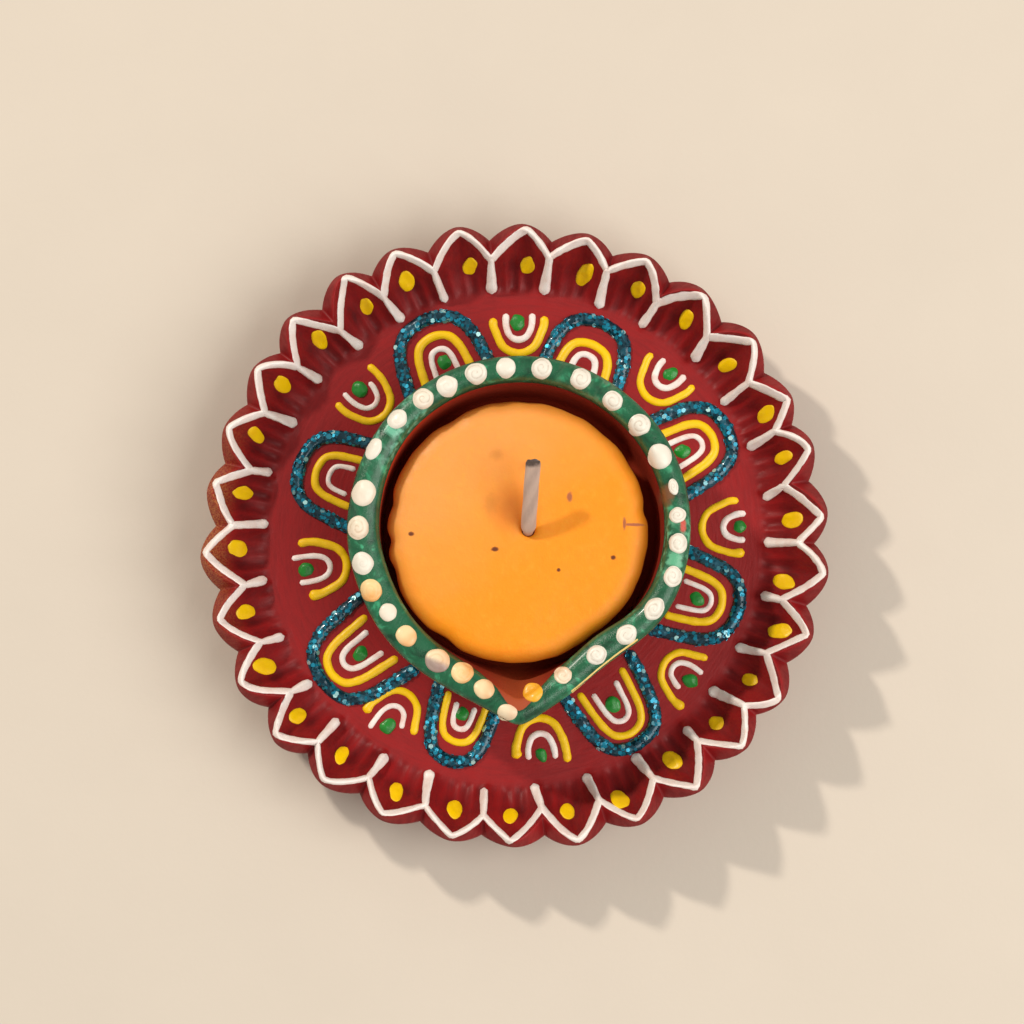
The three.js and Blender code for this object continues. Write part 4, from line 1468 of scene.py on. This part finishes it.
# For each hook between two arches: its bearing; then where the yellow line's bottom, right arm and left arm
# end; the same for the white line; and the place of its green dot.
HOOKS = [
    (136.4, (26.5, 33.4, 32.9), (28.6, 31.6, 33.2), 31.8),
    (89.0, (27.4, 33.0, 32.6), (29.4, 33.4, 33.3), 32.0),
    (47.0, (28.6, 34.6, 33.9), (31.0, 34.8, 34.6), 33.5),
    (3.0, (27.5, 33.6, 33.2), (30.7, 33.9, 34.2), 33.1),
    (-39.0, (28.5, 35.0, 33.2), (29.9, 32.8, 34.0), 33.2),
    (-83.0, (26.6, 32.2, 33.6), (28.9, 32.6, 32.9), 32.1),
    (-124.4, (27.7, 33.6, 32.4), (30.1, 35.2, 32.6), 33.3),
    (-171.6, (25.0, 31.8, 31.2), (27.5, 33.0, 32.4), 31.1),
]
# Which end of a hook's yellow line has a blob, by the hook's bearing: 0 is its right end, -1 its left.
HOOK_BLOBS = {3.0: 0, -39.0: 0, -83.0: 0, -124.4: 0, -171.6: -1}


def blobbed(line, half_width, end):
    """The half widths along a line, with a blob of paint where the nozzle stopped."""
    widths = np.full(len(line), half_width)
    if end is not None:
        widths[end] *= 1.5
        widths[1 if end == 0 else -2] *= 1.1
    return widths


def arch_places():
    """For each glitter arch: its bearing, its crown's distance from the axis and half its width, in mm."""
    found = {}
    for number, node in enumerate(ARCHES, start=1):
        points = node_points(node)[:, :2] / MM
        radius, about = polar(points)
        crown = radius > radius.max() - 1.0
        bearing_angle = math.atan2(np.sin(about[crown]).mean(), np.cos(about[crown]).mean())
        across = np.abs(points @ (-math.sin(bearing_angle), math.cos(bearing_angle)))
        found[number] = (bearing_angle, float(radius.max()), (across.max() - CAD_LINE) / FOOT_SPREAD)
    return found


def glitter_strokes(relief):
    strokes = []
    for bearing_angle, reach, half_width in arch_places().values():
        line = arch_line(reach - relief.glitter / MM, half_width, GLITTER_FOOT)
        strokes.append((plotted(bearing_angle, line), relief.glitter))
    return strokes


def yellow_strokes(relief):
    draw = random.Random(5)
    strokes = []
    arches = arch_places()
    for number, (yellow, _, _) in ARCH_LINES.items():
        bearing_angle, _, half_width = arches[number]
        line = arch_line(yellow, min(3.3, 0.62 * half_width) + draw.uniform(-0.1, 0.1), YELLOW_FOOT)
        strokes.append((plotted(bearing_angle, line), relief.yellow * draw.uniform(0.92, 1.1)))
    for degrees, (bottom, right, left), _, _ in HOOKS:
        line = hook_line(bottom, right, left, 3.75 + draw.uniform(-0.15, 0.1))
        widths = blobbed(line, relief.yellow * draw.uniform(0.92, 1.08), HOOK_BLOBS.get(degrees))
        strokes.append((plotted(math.radians(degrees), line), widths))
    return strokes


def white_strokes(relief):
    draw = random.Random(9)
    strokes = []
    arches = arch_places()
    for number, (_, white, _) in ARCH_LINES.items():
        bearing_angle, _, half_width = arches[number]
        line = arch_line(white, min(1.7, 0.32 * half_width) + draw.uniform(-0.1, 0.1), WHITE_FOOT)
        strokes.append((plotted(bearing_angle, line), relief.white * draw.uniform(0.85, 1.15)))
    for degrees, _, (bottom, right, left), _ in HOOKS:
        line = hook_line(bottom, right, left, 1.9 + draw.uniform(-0.12, 0.12))
        strokes.append((plotted(math.radians(degrees), line), relief.white * draw.uniform(0.9, 1.15)))
    return strokes


def leaf_dots(relief):
    draw = random.Random(12)
    arches = arch_places()
    places = [(arches[number][0], dot) for number, (_, _, dot) in ARCH_LINES.items() if dot]
    places += [(math.radians(degrees), dot) for degrees, _, _, dot in HOOKS]
    return [
        {
            "place": tuple(plan(bearing_angle, out * MM, draw.uniform(-0.2, 0.2) * MM)),
            "size": relief.leaf_dot * draw.uniform(0.95, 1.2),
            "stretch": draw.uniform(1.02, 1.16),
            "turn": bearing_angle + draw.uniform(-0.4, 0.4),
        }
        for bearing_angle, out in places
    ]


TIP_MARGIN = 0.8 * MM  # keeps an outline's point, with its width, on the petal


def outline_strokes(petals, relief):
    """The white line over every petal: two legs that meet in a point, one of which runs on as a tail."""
    draw = random.Random(21)
    count = petals.sizes.petals
    notches = [draw.uniform(39.6, 41.6) * MM for _ in range(count)]
    tails = [
        (draw.choice((0, 1)), draw.uniform(36.0, 37.2) * MM, draw.uniform(-0.3, 0.1)) for _ in range(count)
    ]
    strokes = []
    for petal in range(count):
        tip_side = draw.uniform(-0.3, 0.02)
        tip_out = min(draw.uniform(44.6, 45.4) * MM, petals.edge(tip_side)[0] - TIP_MARGIN)
        width = relief.outline * draw.uniform(0.9, 1.1)
        halves = []
        for side, notch, follows in ((-1, (petal - 1) % count, 1), (1, petal, 0)):
            steps = np.linspace(0, 1, 9)
            sides = list(mix(tip_side, side, steps))
            radii = list(mix(tip_out, notches[notch], steps ** draw.uniform(0.95, 1.5)))
            widths = [width] * len(sides)
            owner, end, slant = tails[notch]
            if owner == follows:
                steps = np.linspace(0.2, 1, 5)
                sides += list(side + slant * steps)
                radii += list(mix(notches[notch], end, steps))
                widths += list(mix(width, relief.tail * draw.uniform(0.85, 1.15), steps))
            halves.append((sides, radii, widths))
        right, left = halves
        sides, radii, widths = (first[:0:-1] + second for first, second in zip(right, left))
        strokes.append((petals.line(petal, sides, np.array(radii)), widths))
    return strokes


def petal_dots(petals, relief):
    draw = random.Random(33)
    dots = []
    for petal in range(petals.sizes.petals):
        side, radius = draw.uniform(-0.35, 0.0), draw.uniform(39.9, 41.3) * MM
        (place,) = petals.line(petal, [side], np.array([radius]))
        dots.append(
            {
                "place": tuple(place),
                "size": relief.petal_dot * draw.uniform(0.85, 1.15),
                "stretch": draw.uniform(1.05, 1.25),
                "turn": math.atan2(place[1], place[0]) + draw.uniform(-0.5, 0.5),
            }
        )
    return dots


# Each pearl, anticlockwise from the spout: how wide it is along the rim and how deep across it, in mm, and
# how strongly orange tints it.
PEARLS = [
    (3.0, 2.5, 0.4), (2.9, 2.9, 1.0), (2.7, 2.6, 0.3), (3.1, 2.8, 0.0), (3.2, 2.9, 0.0), (3.6, 2.8, 0.0),
    (3.1, 2.7, 0.0), (3.0, 2.8, 0.0), (2.3, 2.6, 0.0), (2.4, 1.5, 0.0), (3.8, 3.5, 0.0), (3.2, 3.3, 0.0),
    (3.0, 2.9, 0.0), (3.0, 3.2, 0.0), (3.0, 3.2, 0.0), (2.9, 3.2, 0.0), (3.3, 3.2, 0.0), (3.2, 3.2, 0.0),
    (3.1, 3.1, 0.1), (3.2, 2.7, 0.0), (3.4, 2.2, 0.0), (4.0, 3.5, 0.1), (3.5, 3.2, 0.2), (3.4, 3.2, 0.0),
    (3.4, 3.1, 0.8), (2.7, 2.6, 0.1), (3.2, 3.0, 0.7), (3.7, 3.5, 0.5), (3.3, 3.2, 0.75), (3.1, 2.9, 0.6),
]
SMUDGED_PEARL = 27


def pearls():
    """One pearl on each of the frame's rim beads; those near the spout are tinted."""
    draw = random.Random(17)
    found = []
    for number, (node, (wide, deep, warmth)) in enumerate(zip(BEADS, PEARLS)):
        middle = node_centre(node)
        found.append(
            {
                "place": (middle.x, middle.y),
                "size": math.sqrt(wide * deep) / 2 * MM,
                "stretch": math.sqrt(wide / deep),
                "turn": math.atan2(middle.y, middle.x) + math.pi / 2 + draw.uniform(-0.15, 0.15),
                "warmth": warmth,
                "smudge": 1.0 if number == SMUDGED_PEARL else 0.0,
                "curl": draw.choice((-1.0, 0.0, 0.3, 0.6, 1.0, 1.2)),
            }
        )
    return found


def gilding(cup):
    """A thin gold line on the rim's outer edge, right of the spout."""
    about = np.radians(np.linspace(-73, -43, 12))
    out = wall_radius(cup, 20.8 * MM, about) - 0.25 * MM
    line = np.stack([CUP_AXIS.x + out * np.cos(about), CUP_AXIS.y + out * np.sin(about)], axis=-1)
    return [(line, 0.2 * MM)]


# ---------------------------------------------------------------- operators


def made(name):
    """A piece made earlier. Fails if it is missing."""
    piece = bpy.data.objects.get(name)
    if piece is None:
        raise RuntimeError(f"{name} has to be made first")
    return piece


class DIYA_OT_saucer(Operator):
    """Makes the fluted petal saucer"""

    bl_idname = "diya.saucer"
    bl_label = "Petal saucer"

    def execute(self, context):
        material = maroon_paint(context.scene.diya_colours)
        mesh = saucer_mesh(context.scene.diya_saucer, material)
        add_piece("saucer", mesh, "lamp", material, ["petal_saucer"])
        return {"FINISHED"}


class DIYA_OT_cup(Operator):
    """Makes the spouted cup and the fillet of slip round its foot"""

    bl_idname = "diya.cup"
    bl_label = "Spouted cup"

    def execute(self, context):
        sizes, colours = context.scene.diya_cup, context.scene.diya_colours
        add_piece("cup", cup_mesh(sizes), "lamp", rim_paint(colours), ["diya_cup"])
        add_piece("slip_seam", seam_mesh(sizes), "lamp", slip_clay(colours), ["lute_coil"])
        return {"FINISHED"}


class DIYA_OT_candle(Operator):
    """Makes the wax, its tin tab and its wick"""

    bl_idname = "diya.candle"
    bl_label = "Tea-light candle"

    def execute(self, context):
        colours = context.scene.diya_colours
        add_piece("wax", wax_mesh(), "candle", candle_wax(colours), ["wax_disc"])
        add_piece("tab", tab_mesh(), "candle", tinplate(), ["wick_sustainer"])
        add_piece("wick", wick_mesh(), "candle", wick_cotton(colours), ["cotton_wick"])
        return {"FINISHED"}


class DIYA_OT_pearls(Operator):
    """Drops the pearls of paint along the cup's rim"""

    bl_idname = "diya.pearls"
    bl_label = "Rim pearls"

    def execute(self, context):
        colours, cup = context.scene.diya_colours, made("cup")
        lowest = CUP_HIGH.z - 1.9 * MM
        material = pearl_paint(colours)
        mesh = dotted("pearls", pearls(), cup, material, 0.36, 0.35 * MM, 0.045 * MM, lowest)
        add_piece("rim_pearls", mesh, "lamp", material, BEADS)
        gold = piped_paint("rim_gold", GOLD, GOLD_SHADE)
        strokes = gilding(context.scene.diya_cup)
        mesh = piped("gilding", strokes, cup, gold, 0.8, wander=0.15 * MM, lowest=lowest)
        add_piece("rim_gilding", mesh, "lamp", gold)
        return {"FINISHED"}


class DIYA_OT_glitter(Operator):
    """Pipes the teal glitter arches and scatters their flakes"""

    bl_idname = "diya.glitter"
    bl_label = "Glitter arches"

    def execute(self, context):
        relief, colours = context.scene.diya_relief, context.scene.diya_colours
        material = glitter_paint(colours)
        lines = piped("glitter", glitter_strokes(relief), made("saucer"), material, 0.85, lumps=0.3)
        foil = glitter_foil(colours)
        values = {
            "Density": relief.flakes / MM**2,
            "Flake size": relief.flake_size,
            "Seed": 4,
            "Finish": foil,
        }
        flakes = grown("flakes", lines.copy(), flake_tree(), values)
        add_piece("glitter_lines", lines, "lamp", material, ARCHES)
        add_piece("glitter_flakes", flakes, "lamp", foil)
        return {"FINISHED"}


class DIYA_OT_petal_paint(Operator):
    """Pipes the white outline round the petals and dots them yellow"""

    bl_idname = "diya.petal_paint"
    bl_label = "Petal outline and dots"

    def execute(self, context):
        relief, colours = context.scene.diya_relief, context.scene.diya_colours
        petals, saucer = Petals(context.scene.diya_saucer), made("saucer")
        white = piped_paint("outline_white", colours.relief_white, OUTLINE_SHADE)
        strokes = outline_strokes(petals, relief)
        mesh = piped("outline", strokes, saucer, white, 0.75, sink=0.02 * MM, wander=0.3 * MM, lumps=0.5)
        add_piece("petal_outline", mesh, "lamp", white)
        yellow = piped_paint("dot_yellow", colours.relief_yellow, YELLOW_SHADE, warmth=0.35)
        mesh = dotted("petal_dots", petal_dots(petals, relief), saucer, yellow, 0.45, 0.6 * MM)
        add_piece("petal_dots", mesh, "lamp", yellow)
        return {"FINISHED"}


class DIYA_OT_floor_paint(Operator):
    """Pipes the yellow and white lines on the saucer's floor and their green dots"""

    bl_idname = "diya.floor_paint"
    bl_label = "Floor lines and dots"

    def execute(self, context):
        relief, colours = context.scene.diya_relief, context.scene.diya_colours
        saucer = made("saucer")
        yellow = piped_paint("line_yellow", colours.relief_yellow, YELLOW_SHADE, warmth=0.3)
        mesh = piped("yellow", yellow_strokes(relief), saucer, yellow, 0.75)
        add_piece("yellow_lines", mesh, "lamp", yellow)
        white = piped_paint("line_white", colours.relief_white, WHITE_SHADE, warmth=0.55)
        mesh = piped("white", white_strokes(relief), saucer, white, 0.75)
        add_piece("white_lines", mesh, "lamp", white)
        leaf = piped_paint("leaf_green", colours.leaf, LEAF_SHADE, gloss=0.25)
        mesh = dotted("leaf_dots", leaf_dots(relief), saucer, leaf, 0.5, 0.7 * MM)
        add_piece("leaf_dots", mesh, "lamp", leaf)
        return {"FINISHED"}


FLOOR_RINGS = (0, 0.2, 0.8, 3)  # radii in metres


class DIYA_OT_stage(Operator):
    """Sets up the floor, the lights and the camera"""

    bl_idname = "diya.stage"
    bl_label = "Stage"

    def execute(self, context):
        scene, stage = context.scene, context.scene.diya_stage
        about = np.linspace(0, TURN, 96, endpoint=False)
        circle = np.stack([np.cos(about), np.sin(about), 0 * about], axis=-1)
        rings = [radius * circle for radius in FLOOR_RINGS]
        material = pale_floor(scene.diya_colours)
        mesh = tidied(ring_mesh("floor", rings[::-1]))
        mesh.materials.append(material)
        floor = bpy.data.objects.new("floor", mesh)
        scene.collection.objects.link(floor)

        add_light("key_light", stage.key, (-1.0, 1.0, 1.15), 1.1, 0.06, WARM_LIGHT)
        add_light("fill_light", stage.fill, (1.0, -0.35, 1.25), 0.9, 0.7, SOFT_LIGHT)
        world = bpy.data.worlds.new("room")
        world.use_nodes = True
        backdrop = world.node_tree.nodes["Background"]
        backdrop.inputs["Color"].default_value = (*BACKDROP, 1)
        backdrop.inputs["Strength"].default_value = stage.sky
        scene.world = world
        scene.view_settings.view_transform = "Standard"

        lens = bpy.data.cameras.new("camera")
        lens.lens = stage.lens
        lens.clip_start = 0.01
        camera = bpy.data.objects.new("camera", lens)
        scene.collection.objects.link(camera)
        aim = Vector((-0.44 * MM, 3.5 * MM, 12 * MM))
        outward = Vector((0, -math.cos(stage.elevation), math.sin(stage.elevation)))
        camera.location = aim + outward * stage.view_width * stage.lens / lens.sensor_width
        camera.rotation_euler = outward.to_track_quat("Z", "Y").to_euler()
        scene.camera = camera
        return {"FINISHED"}


def add_light(name, power, direction, distance, size, tint):
    lamp = bpy.data.lights.new(name, "AREA")
    lamp.energy = power
    lamp.size = size
    lamp.color = tint
    light = bpy.data.objects.new(name, lamp)
    bpy.context.scene.collection.objects.link(light)
    outward = Vector(direction).normalized()
    light.location = outward * distance
    light.rotation_euler = outward.to_track_quat("Z", "Y").to_euler()


OPERATORS = [
    DIYA_OT_saucer,
    DIYA_OT_cup,
    DIYA_OT_candle,
    DIYA_OT_pearls,
    DIYA_OT_glitter,
    DIYA_OT_petal_paint,
    DIYA_OT_floor_paint,
    DIYA_OT_stage,
]


class DIYA_PT_panel(Panel):
    """Lists the pieces and their sizes"""

    bl_label = "Clay Diya"
    bl_space_type = "VIEW_3D"
    bl_region_type = "UI"
    bl_category = "Diya"

    def draw(self, context):
        for operator in OPERATORS:
            self.layout.operator(operator.bl_idname)
        for key, group in GROUPS.items():
            box = self.layout.box()
            for setting in group.__annotations__:
                box.prop(getattr(context.scene, key), setting)


CLASSES = [*GROUPS.values(), *OPERATORS, DIYA_PT_panel]


def register():
    for cls in CLASSES:
        bpy.utils.register_class(cls)
    for key, group in GROUPS.items():
        setattr(bpy.types.Scene, key, PointerProperty(type=group))


def unregister():
    for key in GROUPS:
        delattr(bpy.types.Scene, key)
    for cls in reversed(CLASSES):
        bpy.utils.unregister_class(cls)


def main():
    register()
    for operator in OPERATORS:
        area, _, verb = operator.bl_idname.partition(".")
        getattr(getattr(bpy.ops, area), verb)()
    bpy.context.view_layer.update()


if __name__ == "__main__":
    main()
